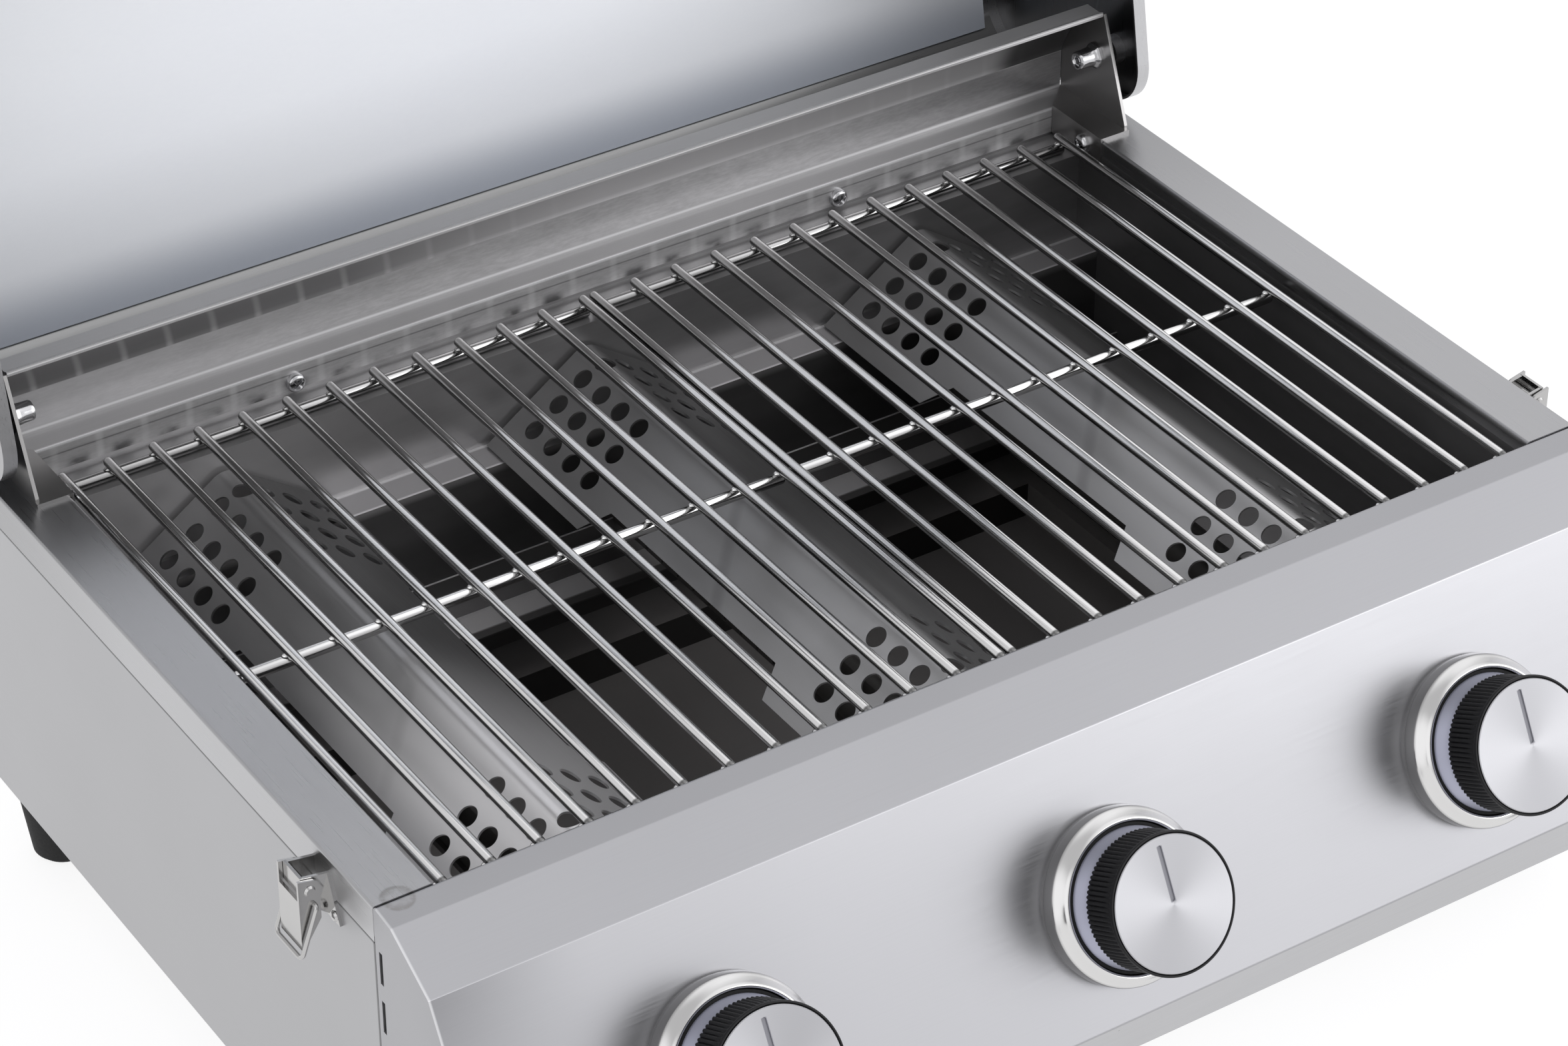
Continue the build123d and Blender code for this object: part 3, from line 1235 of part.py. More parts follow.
def make_handle_posts():
    """Turned posts that carry the handle off the lid."""
    posts = []
    for sign in (-1, 1):
        frame = Plane(origin=(sign * HANDLE_POST_X, 0, 0))
        top = HANDLE_STANDOFF - HANDLE_RADIUS + HANDLE_WALL / 2
        post = turned(frame, [
            (0, 0), (HANDLE_POST_BASE_RADIUS, 0), (HANDLE_POST_BASE_RADIUS, HANDLE_POST_BASE),
            (HANDLE_POST_RADIUS, 2 * HANDLE_POST_BASE), (HANDLE_POST_RADIUS, top), (0, top),
        ])
        tube = bar(
            (-HANDLE_LENGTH, 0, HANDLE_STANDOFF), (HANDLE_LENGTH, 0, HANDLE_STANDOFF), HANDLE_RADIUS,
        )
        posts.append(opened(handle_frame().location * (post - tube)))
    return Compound(posts)


def make_bumpers():
    """Silicone bumpers under the lid's corners that land on the rim."""
    bumpers = []
    x = cap_outer_x() - LID_CAP_WIDTH / 2
    rear, front, bottom, top = lid_extents()
    for sign in (-1, 1):
        for y in (front + BUMPER_SET, HINGE_Y - 3 * BUMPER_SET):
            low = RIM_Z + EASY_FIT
            width = LID_CAP_WIDTH / 2 - EASY_FIT
            pad = block(
                sign * (x - width), sign * (x + width), y - BUMPER_RADIUS, y + BUMPER_RADIUS, low, bottom,
            )
            bumpers.append(opened(pad))
    return Compound(bumpers)


def make_catches():
    """Hooked catches on the end caps that reach down for the latch bails."""
    out = cap_outer_x()
    y = latch_y()
    half = CATCH_WIDTH / 2
    hooked = bail_pivot()[1] + BAIL_REACH
    low = hooked - BAIL_WIRE - LATCH_SHEET - CATCH_EASE
    high = HINGE_Z - LID_EDGE_DROP + CATCH_TOP
    plate = block(out, out + LATCH_SHEET, y - half, y + half, low, high)
    shelf = block(out, out + CATCH_OUT, y - half, y + half, low, low + LATCH_SHEET)
    lip = block(out + CATCH_OUT - LATCH_SHEET, out + CATCH_OUT, y - half, y + half, low, low + CATCH_LIP)
    catch = opened(plate + shelf + lip)
    return Compound([catch, mirrored(catch)])


def opened(piece):
    """Swings a piece of the lid from shut to its open rest."""
    axis = Axis(origin=(0, HINGE_Y, HINGE_Z), direction=(1, 0, 0))
    return piece.rotate(axis, -LID_OPEN_ANGLE)


# Latches, drawn on the right-hand side


def latch_y():
    """Middle of the latches, front to back."""
    return LIP_Y + LATCH_BACK


def latch_pin():
    """Axis of the lever's pin, as (x, z)."""
    return HALF_WIDTH + LATCH_PIN_OUT, RIM_Z - LATCH_PIN_DROP


def bail_pivot():
    """Axis of the bail's ends in the lever's cheeks, as (x, z)."""
    x, z = latch_pin()
    return x - BAIL_PIVOT_IN, z - BAIL_PIVOT_DOWN


def standing(outline, y0, y1):
    """An XZ outline run from one Y to another."""
    frame = Plane(origin=(0, y1, 0), x_dir=(1, 0, 0), z_dir=(0, -1, 0))
    return extrude(frame * make_face(Polyline(*outline, close=True)), y1 - y0)


def pin_bore(place, extra, radius):
    """A bore along Y through the whole latch."""
    x, z = place
    y = latch_y()
    return bar((x, y - LEVER_WIDTH, z), (x, y + LEVER_WIDTH, z), radius + extra)


def channel_half():
    """Half the width of the base's channel, which turns between the lever's cheeks."""
    return LEVER_WIDTH / 2 - LATCH_SHEET - LEVER_GAP


def make_latch_base(sign):
    """Riveted base of a latch: a standing channel with flared wings on the side panel."""
    x, z = latch_pin()
    y = latch_y()
    half = channel_half()
    top, low = z + LATCH_TOP, z - LATCH_PLATE_DROP
    out = HALF_WIDTH + LATCH_CHANNEL_OUT
    cheek = [
        (HALF_WIDTH, low), (HALF_WIDTH, top - LATCH_TOP_SLOPE), (out, top),
        (out, z - LATCH_CORNER), (out - LATCH_CORNER, z - LATCH_CORNER * 3),
    ]
    pieces = [block(out - LATCH_SHEET, out, y - half, y + half, z - LATCH_CORNER, top)]
    for side in (-1, 1):
        y0, y1 = sorted((y + side * (half - LATCH_SHEET), y + side * half))
        pieces.append(standing(cheek, y0, y1))
        wing = side_face(
            (y + side * (half - LATCH_SHEET), low), (y + side * (half + LATCH_PLATE_FLARE), low),
            (y + side * half, top - LATCH_TOP_SLOPE), (y + side * (half - LATCH_SHEET), top - LATCH_TOP_SLOPE),
        )
        pieces.append(along_x(wing, HALF_WIDTH, HALF_WIDTH + LATCH_SHEET))
    base = union(pieces) - pin_bore(latch_pin(), 0, LATCH_PIN_RADIUS)
    return base if sign > 0 else mirrored(base)


def make_latch_pins():
    """Headed pins that the latch levers turn on."""
    x, z = latch_pin()
    half = LEVER_WIDTH / 2 + RUNNING_FIT
    frame = Plane(origin=(x, latch_y(), z), x_dir=(1, 0, 0), z_dir=(0, 1, 0))
    head = LATCH_PIN_RADIUS * 3 / 2
    outline = [
        (0, -half - LATCH_PIN_HEAD), (head * 3 / 4, -half - LATCH_PIN_HEAD), (head, -half),
        (LATCH_PIN_RADIUS, -half), (LATCH_PIN_RADIUS, half), (head, half),
        (head * 3 / 4, half + LATCH_PIN_HEAD), (0, half + LATCH_PIN_HEAD),
    ]
    pin = turned(frame, outline)
    return [pin, mirrored(pin)]


def make_latch_rivets():
    """Domed rivets through the wings of the latch bases."""
    rivets = []
    x, z = latch_pin()
    for side in (-1, 1):
        place = (HALF_WIDTH + LATCH_SHEET, latch_y() + side * RIVET_ASIDE, z - RIVET_DROP)
        frame = Plane(origin=place, x_dir=(0, 1, 0), z_dir=(1, 0, 0))
        rivet = turned(frame, [
            (0, 0), (RIVET_RADIUS, 0), (RIVET_RADIUS * 3 / 4, RIVET_HEAD * 3 / 4), (0, RIVET_HEAD),
        ])
        rivets += [rivet, mirrored(rivet)]
    return rivets


def make_lever(sign):
    """Channel-section latch lever: ears round the pin, and cheeks that taper to its tip."""
    x, z = latch_pin()
    y = latch_y()
    half = LEVER_WIDTH / 2
    out = HALF_WIDTH + LEVER_OUT
    back = out - LEVER_CHEEK
    top, low = z + LATCH_TOP, z - LEVER_BELOW
    cheek = Polyline(
        (out, low), (out, top), (back, top - LATCH_TOP_SLOPE), (back, z - LEVER_CHEEK_BELOW),
        (out - LATCH_SHEET, low), close=True,
    )
    frame = Plane(origin=(0, y + half, 0), x_dir=(1, 0, 0), z_dir=(0, -1, 0))
    face = make_face(cheek)
    corner = face.vertices().sort_by_distance((back, top - LATCH_TOP_SLOPE, 0))[0]
    face = fillet(corner, LATCH_CORNER)
    body = extrude(frame * face, LEVER_WIDTH)
    body = body - block(
        back - OVERRUN, out - LATCH_SHEET, y - half + LATCH_SHEET, y + half - LATCH_SHEET,
        low - OVERRUN, top + OVERRUN,
    )
    body = body - block(
        back - OVERRUN, out + OVERRUN, y - half + LATCH_SHEET, y + half - LATCH_SHEET,
        z - LEVER_WEB_BELOW, top + OVERRUN,
    )
    bores = pin_bore(latch_pin(), RUNNING_FIT, LATCH_PIN_RADIUS) + pin_bore(bail_pivot(), RUNNING_FIT, BAIL_WIRE)
    lever = body - bores
    return lever if sign > 0 else mirrored(lever)


def make_bail(sign):
    """Wire bail that hangs from the lever and hooks over the lid's catch."""
    x, z = bail_pivot()
    y = latch_y()
    out = LEVER_WIDTH / 2 + BAIL_GAP + BAIL_WIRE
    inner = LEVER_WIDTH / 2 - LATCH_SHEET
    low = z - BAIL_REACH
    route = FilletPolyline(
        (x, y - inner, z), (x, y - out, z), (x, y - out, low),
        (x, y + out, low), (x, y + out, z), (x, y + inner, z),
        radius=(3 * BAIL_WIRE / 2, BAIL_CORNER, BAIL_CORNER, 3 * BAIL_WIRE / 2),
    )
    section = Plane(origin=(x, y - inner, z), z_dir=(0, -1, 0)) * Circle(BAIL_WIRE)
    wire = sweep(section, path=route)
    wire = wire.rotate(Axis(origin=(x, y, z), direction=(0, 1, 0)), -BAIL_LEAN)
    return wire if sign > 0 else mirrored(wire)


def build():
    """Every node by name, in the drawing frame."""
    nodes = {
        "side_panel_left": make_side_panel(-1),
        "side_panel_right": make_side_panel(1),
        "rim_left": make_rim(-1),
        "rim_right": make_rim(1),
        "rear_panel": make_rear_panel(),
        "base_frame": make_base_frame(),
        "firebox": make_firebox(),
        "backsplash": make_backsplash(),
        "hinge_bracket_left": make_hinge_bracket(-1),
        "hinge_bracket_right": make_hinge_bracket(1),
        "hinge_bolts": make_hinge_bolts(),
        "hinge_spacers": make_hinge_spacers(),
        "front_fascia": make_fascia(),
        "seat_rings": make_seat_rings(),
        "valves": make_valves(),
        "manifold": make_manifold(),
        "supply_tube": make_supply_tube(),
        "gas_inlet": make_gas_inlet(),
        "burners": Compound([make_burner(x) for x in STATIONS.values()]),
        "burner_rail": make_burner_rail(),
        "grate_left": make_grate(-1),
        "grate_right": make_grate(1),
        "igniter_bezel": make_igniter_bezel(),
        "igniter_box": make_igniter_box(),
        "igniter_button": make_igniter_button(),
        "igniter_electrodes": make_electrodes(),
        "tray_runners": make_runners(),
        "drip_tray": make_drip_tray(),
        "feet": make_feet(),
        "foot_screws": make_foot_screws(),
        "panel_screws": make_panel_screws(),
        "lid_shell": make_lid_shell(),
        "lid_liner": make_lid_liner(),
        "lid_end_cap_left": make_end_cap(-1),
        "lid_end_cap_right": make_end_cap(1),
        "lid_handle": make_handle_bar(),
        "handle_posts": make_handle_posts(),
        "lid_bumpers": make_bumpers(),
        "lid_catches": make_catches(),
        "latch_bases": Compound([make_latch_base(-1), make_latch_base(1)]),
        "latch_pins": Compound(make_latch_pins() + make_latch_rivets()),
        "latch_lever_left": make_lever(-1),
        "latch_lever_right": make_lever(1),
        "latch_bail_left": make_bail(-1),
        "latch_bail_right": make_bail(1),
    }
    for name, x in STATIONS.items():
        nodes[f"bezel_{name}"] = make_bezel(x)
        nodes[f"knob_{name}"] = make_knob(x)
        nodes[f"knob_cap_{name}"] = make_cap(x)
        nodes[f"valve_stem_{name}"] = make_stem(x)
    for name, x in TAMER_STATIONS.items():
        nodes[f"flame_tamer_{name}"] = make_tamer(x)
    return nodes


def main():
    """Builds the grill, centres it over the origin and writes one file per node."""
    nodes = build()
    whole = Compound([piece for node in nodes.values() for piece in node.solids()]).bounding_box()
    shift = Location((0, -(whole.min.Y + whole.max.Y) / 2, -whole.min.Z))
    os.makedirs("parts", exist_ok=True)
    for name, node in nodes.items():
        solids = node.solids()
        piece = solids[0] if len(solids) == 1 else Compound(solids)
        export_step(shift * piece, f"parts/{name}.step")
    print("nodes", len(nodes), "shift", tuple(shift.position))
    print("size", whole.size)
    places = {
        "hinge": (0, HINGE_Y, HINGE_Z),
        "latch_pin": (latch_pin()[0], latch_y(), latch_pin()[1]),
        "bail_pivot": (bail_pivot()[0], latch_y(), bail_pivot()[1]),
        "gas_inlet": (supply_place()[0], REAR_Y, supply_place()[1]),
    }
    for name, x in STATIONS.items():
        places[f"knob_{name}"] = tuple(panel_point(x, KNOB_DOWN, 0))
    for name, place in places.items():
        moved = Vector(*place) + shift.position
        print(name, tuple(round(value, 4) for value in moved))
    print("panel out", tuple(round(value, 5) for value in PANEL_OUT))


main()
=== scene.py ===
import bpy
import bmesh
import numpy as np
from mathutils import Euler, Matrix, Vector


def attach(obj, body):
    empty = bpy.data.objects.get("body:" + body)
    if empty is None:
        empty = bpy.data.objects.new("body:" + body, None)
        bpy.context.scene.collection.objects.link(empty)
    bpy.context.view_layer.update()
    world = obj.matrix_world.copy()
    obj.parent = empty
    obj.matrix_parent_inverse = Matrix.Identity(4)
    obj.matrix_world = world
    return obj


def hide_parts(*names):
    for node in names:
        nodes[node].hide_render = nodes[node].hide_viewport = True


# Three-burner tabletop gas grill, lid open. Everything is in metres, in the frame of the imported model.
# Profiles of turned pieces are in millimetres and scaled where they are used.

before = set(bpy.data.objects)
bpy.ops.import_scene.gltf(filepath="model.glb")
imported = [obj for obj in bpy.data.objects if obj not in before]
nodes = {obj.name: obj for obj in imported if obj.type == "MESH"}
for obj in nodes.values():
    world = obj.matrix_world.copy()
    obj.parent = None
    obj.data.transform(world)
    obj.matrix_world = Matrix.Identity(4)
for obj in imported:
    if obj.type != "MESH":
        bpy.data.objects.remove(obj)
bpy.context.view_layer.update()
MM = 0.001
ACROSS = np.array([1.0, 0.0, 0.0])
BACKWARD = np.array([0.0, 1.0, 0.0])
UP = np.array([0.0, 0.0, 1.0])

# The photograph's camera: its lens in millimetres, its place, and its turns in degrees
CAMERA_LENS = 105.49
CAMERA_PLACE = (-0.83103, -1.27471, 1.21058)
CAMERA_DOWN, CAMERA_ASIDE, CAMERA_ROLL = 34.989, -33.583, 0.22

# The front panel: where the knobs sit on it, how far it leans back, and its directions out and up
KNOB_X = {"left": -0.1713, "centre": 0.0, "right": 0.1713}
KNOB_Y, KNOB_Z = -0.2480332, 0.1225713
PANEL_LEAN = np.radians(29.5)
PANEL_OUT = np.array([0.0, -0.870356, 0.492424])
PANEL_UP = np.array([0.0, 0.492424, 0.870356])
HALF_WIDTH = 0.2735
PANEL_SEAM_Y = -0.1788
WELD_X, WELD_Y = -0.2637, -0.1797

# The backsplash, from the skirt that hangs behind the grates to the hood
RIM_Z = 0.194
SKIRT_Y = 0.1376834
WALL_Y = 0.1506834
WALL_TOP_Z = 0.213
HOOD_TOP_Z = 0.244
HOOD_FRONT_Y, HOOD_BACK_Y = 0.1218834, 0.1343834
HOOD_REFLECTION_LEAN = 0.66

# The firebox, as spans: its ledges, their lip and their bend; and the rails round the tray's opening
LEDGES_Z = (0.110, 0.170)
LEDGE_LIP_Y, LEDGE_BEND_Y = (0.1012, 0.1028), (0.1160, 0.1178)
RAILS_BELOW_Z = (0.100, 0.108)
RAIL_BRIGHT_Y = 0.0712

# The flame tamers: each one's middle, and y less the distance from the middle along its dark streak
TAMER_STREAKS = ((-0.1791, -0.0415), (-0.0078, -0.0050), (0.1635, -0.0160))

# The lid: where its lower back hem ends, and the heights between which the liner's band of painted shade
# fades
HEM_TOP_Z, HEM_Y = 0.1990, 0.2060
LINER_LOW_Z, LINER_BRIGHT_Z = 0.198, 0.226

# The grates
RODS = 13
ROD_PITCH = 0.020
ROD_REAR_Y = 0.1266834
ROD_Z, CROSSBAR_Z = 0.1871, 0.1825
CROSSBAR_Y = (0.1230834, -0.0243166, -0.1717166)
FIRST_ROD_X = (("left", -0.24265), ("right", 0.00265))
ROD_SHADE_Y = -0.1735

# The knobs: their ribs and the height of the skirt's lower edge above the panel, in millimetres
RIBS = 88
KNOB_SKIRT_LOW = 18.9

# The hinges: how far back and how high the bolts sit, and how far out the plates stand, in millimetres
HINGE_Y, HINGE_Z = 0.1261834, 0.222
PLATE_X = 262.5

# Colours that several finishes share, and lengths of the brushing's hair lines
STEEL = (0.50, 0.50, 0.51)
PALE = (0.80, 0.79, 0.80)
FINE, LONG = 0.00045, 0.040
GRAIN_X = (LONG, FINE, FINE)
GRAIN_Y = (FINE, LONG, FINE)
GRAIN_Z = (FINE, FINE, LONG)


# Camera, floor and light


def make_camera():
    """The photograph's own view: a long lens, to the left of the grill and above it."""
    camera = bpy.data.cameras.new("camera")
    camera.lens = CAMERA_LENS
    camera.sensor_width = 36.0
    camera.clip_end = 50.0
    holder = bpy.data.objects.new("camera", camera)
    bpy.context.scene.collection.objects.link(holder)
    turn = Euler((np.radians(90 - CAMERA_DOWN), 0.0, np.radians(CAMERA_ASIDE))).to_matrix()
    roll = Matrix.Rotation(np.radians(CAMERA_ROLL), 3, "Z")
    holder.matrix_world = Matrix.Translation(CAMERA_PLACE) @ (turn @ roll).to_4x4()
    bpy.context.scene.camera = holder


def make_floor():
    """A plain white table top, bright enough to look like a studio sweep."""
    side = 12.0
    corners = [(-side, -side, 0), (side, -side, 0), (side, side, 0), (-side, side, 0)]
    mesh = bpy.data.meshes.new("floor")
    mesh.from_pydata(corners, [], [(0, 1, 2, 3)])
    floor = bpy.data.objects.new("floor", mesh)
    bpy.context.scene.collection.objects.link(floor)
    material = bpy.data.materials.new("white_table")
    material.use_nodes = True
    shader = material.node_tree.nodes["Principled BSDF"]
    shader.inputs["Base Color"].default_value = (0.22, 0.22, 0.225, 1)
    shader.inputs["Roughness"].default_value = 0.9
    shader.inputs["Specular IOR Level"].default_value = 0.0
    shader.inputs["Emission Color"].default_value = (1, 1, 1, 1)
    shader.inputs["Emission Strength"].default_value = 0.85
    mesh.materials.append(material)


def make_studio():
    """An even pale room that glows to the right, overhead, and more dimly at the back and at the left."""
    room_light = 0.72
    world = bpy.data.worlds.new("studio")
    bpy.context.scene.world = world
    world.use_nodes = True
    tree = world.node_tree
    tree.nodes.clear()
    out = tree.nodes.new("ShaderNodeOutputWorld")
    back = tree.nodes.new("ShaderNodeBackground")
    tree.links.new(back.outputs[0], out.inputs[0])
    place = tree.nodes.new("ShaderNodeTexCoord")
    # Each glow is how far a direction points towards it, made soft by a ramp: direction, from, to, strength
    glows = [
        ((0.88, -0.46, 0.12), 0.60, 0.98, 1.25),
        ((0.45, -0.15, 0.88), 0.70, 1.00, 0.55),
        ((0.45, 0.68, 0.57), 0.75, 1.00, 0.30),
        ((-0.85, -0.30, 0.42), 0.80, 0.98, 0.60),
    ]
    total = None
    for direction, start, end, strength in glows:
        dot = tree.nodes.new("ShaderNodeVectorMath")
        dot.operation = "DOT_PRODUCT"
        dot.inputs[1].default_value = np.array(direction) / np.linalg.norm(direction)
        tree.links.new(place.outputs["Generated"], dot.inputs[0])
        ramp = tree.nodes.new("ShaderNodeMapRange")
        ramp.interpolation_type = "SMOOTHERSTEP"
        ramp.inputs["From Min"].default_value = start
        ramp.inputs["From Max"].default_value = end
        ramp.inputs["To Max"].default_value = strength
        tree.links.new(dot.outputs["Value"], ramp.inputs["Value"])
        added = tree.nodes.new("ShaderNodeMath")
        added.operation = "ADD"
        tree.links.new(ramp.outputs[0], added.inputs[0])
        if total is None:
            added.inputs[1].default_value = room_light
        else:
            tree.links.new(total, added.inputs[1])
        total = added.outputs[0]
    tree.links.new(total, back.inputs["Strength"])
    back.inputs["Color"].default_value = (0.985, 0.985, 1.0, 1)


def make_lamp(name, place, aim, size, power):
    """A soft white rectangular lamp that looks at a point."""
    light = bpy.data.lights.new(name, "AREA")
    light.shape = "RECTANGLE"
    light.size, light.size_y = size
    light.energy = power
    lamp = bpy.data.objects.new(name, light)
    bpy.context.scene.collection.objects.link(lamp)
    way = Vector(aim) - Vector(place)
    lamp.matrix_world = Matrix.Translation(place) @ way.to_track_quat("-Z", "Y").to_matrix().to_4x4()


def set_look():
    """Plain display of the colours, so that the white table stays white."""
    view = bpy.context.scene.view_settings
    view.view_transform = "Standard"
    view.look = "None"
    view.exposure = 0.0
    view.gamma = 1.0


# Materials


class Finish:
    """A procedural material: one Principled shader and a few helpers to wire patterns into it.
    Its colour is built up step by step, by factors that run from 0 to 1 over the piece."""

    def __init__(self, name, colour, metal, rough):
        self.material = bpy.data.materials.new(name)
        self.material.use_nodes = True
        self.tree = self.material.node_tree
        self.shader = self.tree.nodes["Principled BSDF"]
        self.shader.inputs["Base Color"].default_value = (*colour, 1)
        self.shader.inputs["Metallic"].default_value = metal
        self.shader.inputs["Roughness"].default_value = rough
        self.coords = self.tree.nodes.new("ShaderNodeTexCoord").outputs["Object"]
        self.shade = None

    def node(self, kind, **values):
        """Adds a node and sets its properties."""
        made = self.tree.nodes.new(kind)
        for name, value in values.items():
            setattr(made, name, value)
        return made

    def link(self, start, end):
        self.tree.links.new(start, end)

    def mapped(self, scale=(1, 1, 1), place=(0, 0, 0), turn=(0, 0, 0)):
        """Object coordinates in another frame, with its own place, turn and lengths of a unit."""
        step = self.node("ShaderNodeMapping", vector_type="TEXTURE")
        step.inputs["Location"].default_value = place
        step.inputs["Rotation"].default_value = turn
        step.inputs["Scale"].default_value = scale
        self.link(self.coords, step.inputs["Vector"])
        return step.outputs[0]

    def noise(self, scale, place=None, detail=2.0, rough=0.5):
        made = self.node("ShaderNodeTexNoise")
        made.inputs["Scale"].default_value = scale
        made.inputs["Detail"].default_value = detail
        made.inputs["Roughness"].default_value = rough
        self.link(place or self.coords, made.inputs["Vector"])
        return made.outputs["Fac"]

    def split(self, source=None):
        """The three parts of a vector, or of the place on the object."""
        made = self.node("ShaderNodeSeparateXYZ")
        self.link(source or self.coords, made.inputs[0])
        return tuple(made.outputs)

    def facing(self):
        """The three parts of the direction that the surface faces."""
        return self.split(self.node("ShaderNodeNewGeometry").outputs["Normal"])

    def maths(self, operation, first, second=0.0, third=None):
        """One step of arithmetic on up to three values, each a number or what another node gives."""
        made = self.node("ShaderNodeMath", operation=operation)
        for socket, value in zip(made.inputs, (first, second, third)):
            if value is None:
                continue
            if isinstance(value, (int, float)):
                socket.default_value = value
            else:
                self.link(value, socket)
        return made.outputs[0]

    def distance(self, first, second):
        """How far two lengths at right angles reach together."""
        squares = [self.maths("MULTIPLY", side, side) for side in (first, second)]
        return self.maths("SQRT", self.maths("ADD", *squares))

    def span(self, value, low, high, to_low, to_high, smooth=False):
        """Maps a value from one span to another, clamped."""
        made = self.node("ShaderNodeMapRange")
        if smooth:
            made.interpolation_type = "SMOOTHSTEP"
        made.inputs["From Min"].default_value = low
        made.inputs["From Max"].default_value = high
        made.inputs["To Min"].default_value = to_low
        made.inputs["To Max"].default_value = to_high
        self.link(value, made.inputs["Value"])
        return made.outputs[0]

    def rise(self, value, low, high, smooth=False):
        """A factor that is 0 below a span of the value and 1 above it."""
        return self.span(value, low, high, 0.0, 1.0, smooth)

    def fall(self, value, low, high, smooth=False):
        """A factor that is 1 below a span of the value and 0 above it."""
        return self.span(value, low, high, 1.0, 0.0, smooth)

    def within(self, value, low, high, soft=0.0004):
        """A factor that is 1 between two bounds, with soft sides."""
        start = self.rise(value, low - soft, low + soft)
        return self.all_of(start, self.fall(value, high - soft, high + soft))

    def all_of(self, first, *others):
        """The product of factors."""
        for other in others:
            first = self.maths("MULTIPLY", first, other)
        return first

    def outside(self, factor):
        """What a factor leaves out."""
        return self.maths("SUBTRACT", 1.0, factor)

    def mix(self, factor, start, end, blend="MIX"):
        """Makes the colour from two, each three numbers or what another node gives."""
        made = self.node("ShaderNodeMix", data_type="RGBA", blend_type=blend)
        for socket, colour in ((made.inputs["A"], start), (made.inputs["B"], end)):
            if isinstance(colour, tuple):
                socket.default_value = (*colour, 1)
            else:
                self.link(colour, socket)
        self.link(factor, made.inputs["Factor"])
        self.shade = made.outputs["Result"]

    def tint(self, factor, dark, light):
        """Starts the colour, between two colours."""
        self.mix(factor, dark, light)

    def over(self, factor, colour):
        """Lays a colour over what is there."""
        self.mix(factor, self.shade, colour)

    def dim(self, factor, amount):
        """Multiplies the colour by an amount."""
        self.mix(factor, self.shade, (amount, amount, amount), "MULTIPLY")

    def paint(self):
        """Sends the colour to the shader."""
        self.link(self.shade, self.shader.inputs["Base Color"])
        return self

    def rough(self, value):
        self.link(value, self.shader.inputs["Roughness"])

    def bump(self, height, strength, distance):
        made = self.node("ShaderNodeBump")
        made.inputs["Strength"].default_value = strength
        made.inputs["Distance"].default_value = distance
        self.link(height, made.inputs["Height"])
        self.link(made.outputs[0], self.shader.inputs["Normal"])

    def grain_round(self, axis, amount):
        """Brushing that runs along an axis: highlights are drawn out across it."""
        made = self.node("ShaderNodeTangent", direction_type="RADIAL", axis=axis)
        self.link(made.outputs[0], self.shader.inputs["Tangent"])
        self.shader.inputs["Anisotropic"].default_value = amount
        self.shader.inputs["Anisotropic Rotation"].default_value = 0.25


def shades(colour, share):
    """A colour made darker and lighter by a share of itself."""
    return tuple(c * (1 - share) for c in colour), tuple(min(1, c * (1 + share)) for c in colour)


def specks(finish, scale, cut):
    """Small dark grit: the middles of sparse cells, as a factor."""
    cells = finish.node("ShaderNodeTexVoronoi", feature="F1")
    cells.inputs["Scale"].default_value = scale
    finish.link(finish.coords, cells.inputs["Vector"])
    return finish.fall(cells.outputs["Distance"], cut * 0.6, cut)


def brushed(name, colour, rough, grain, axis,
            variation=0.06, blotch=0.04, pull=0.45, grit=0.016, metal=1.0):
    """Brushed sheet: hair lines are noise stretched along the brushing, over slow clouds of tone.
    Variation and blotch are the shares of the colour that hair lines and clouds take or add."""
    clouds_per_metre, specks_per_metre, speck_colour = 11.0, 26.0, (0.06, 0.06, 0.06)
    finish = Finish(name, colour, metal, rough)
    hair = finish.noise(1.0, finish.mapped(scale=grain), detail=2.0, rough=0.55)
    cloud = finish.noise(clouds_per_metre, detail=2.0)
    whole = variation + blotch
    mixed = finish.maths("MULTIPLY", hair, variation / whole)
    mixed = finish.maths("MULTIPLY_ADD", cloud, blotch / whole, mixed)
    finish.tint(mixed, *shades(colour, whole))
    if grit:
        finish.over(specks(finish, specks_per_metre, grit), speck_colour)
    finish.rough(finish.span(hair, 0.25, 0.75, rough - 0.04, rough + 0.05))
    finish.grain_round(axis, pull)
    return finish


def plain(name, colour, metal, rough, scale, depth, variation=0.08, rough_span=0.05):
    """A moulded or machined finish with fine mottling in its colour, roughness and surface."""
    grain_height = 0.00005
    finish = Finish(name, colour, metal, rough)
    grain = finish.noise(scale, detail=3.0)
    cloud = finish.noise(scale / 12, detail=2.0)
    finish.tint(cloud, *shades(colour, variation))
    finish.rough(finish.span(grain, 0.3, 0.7, rough - rough_span, rough + rough_span))
    if depth:
        finish.bump(grain, depth, grain_height)
    return finish


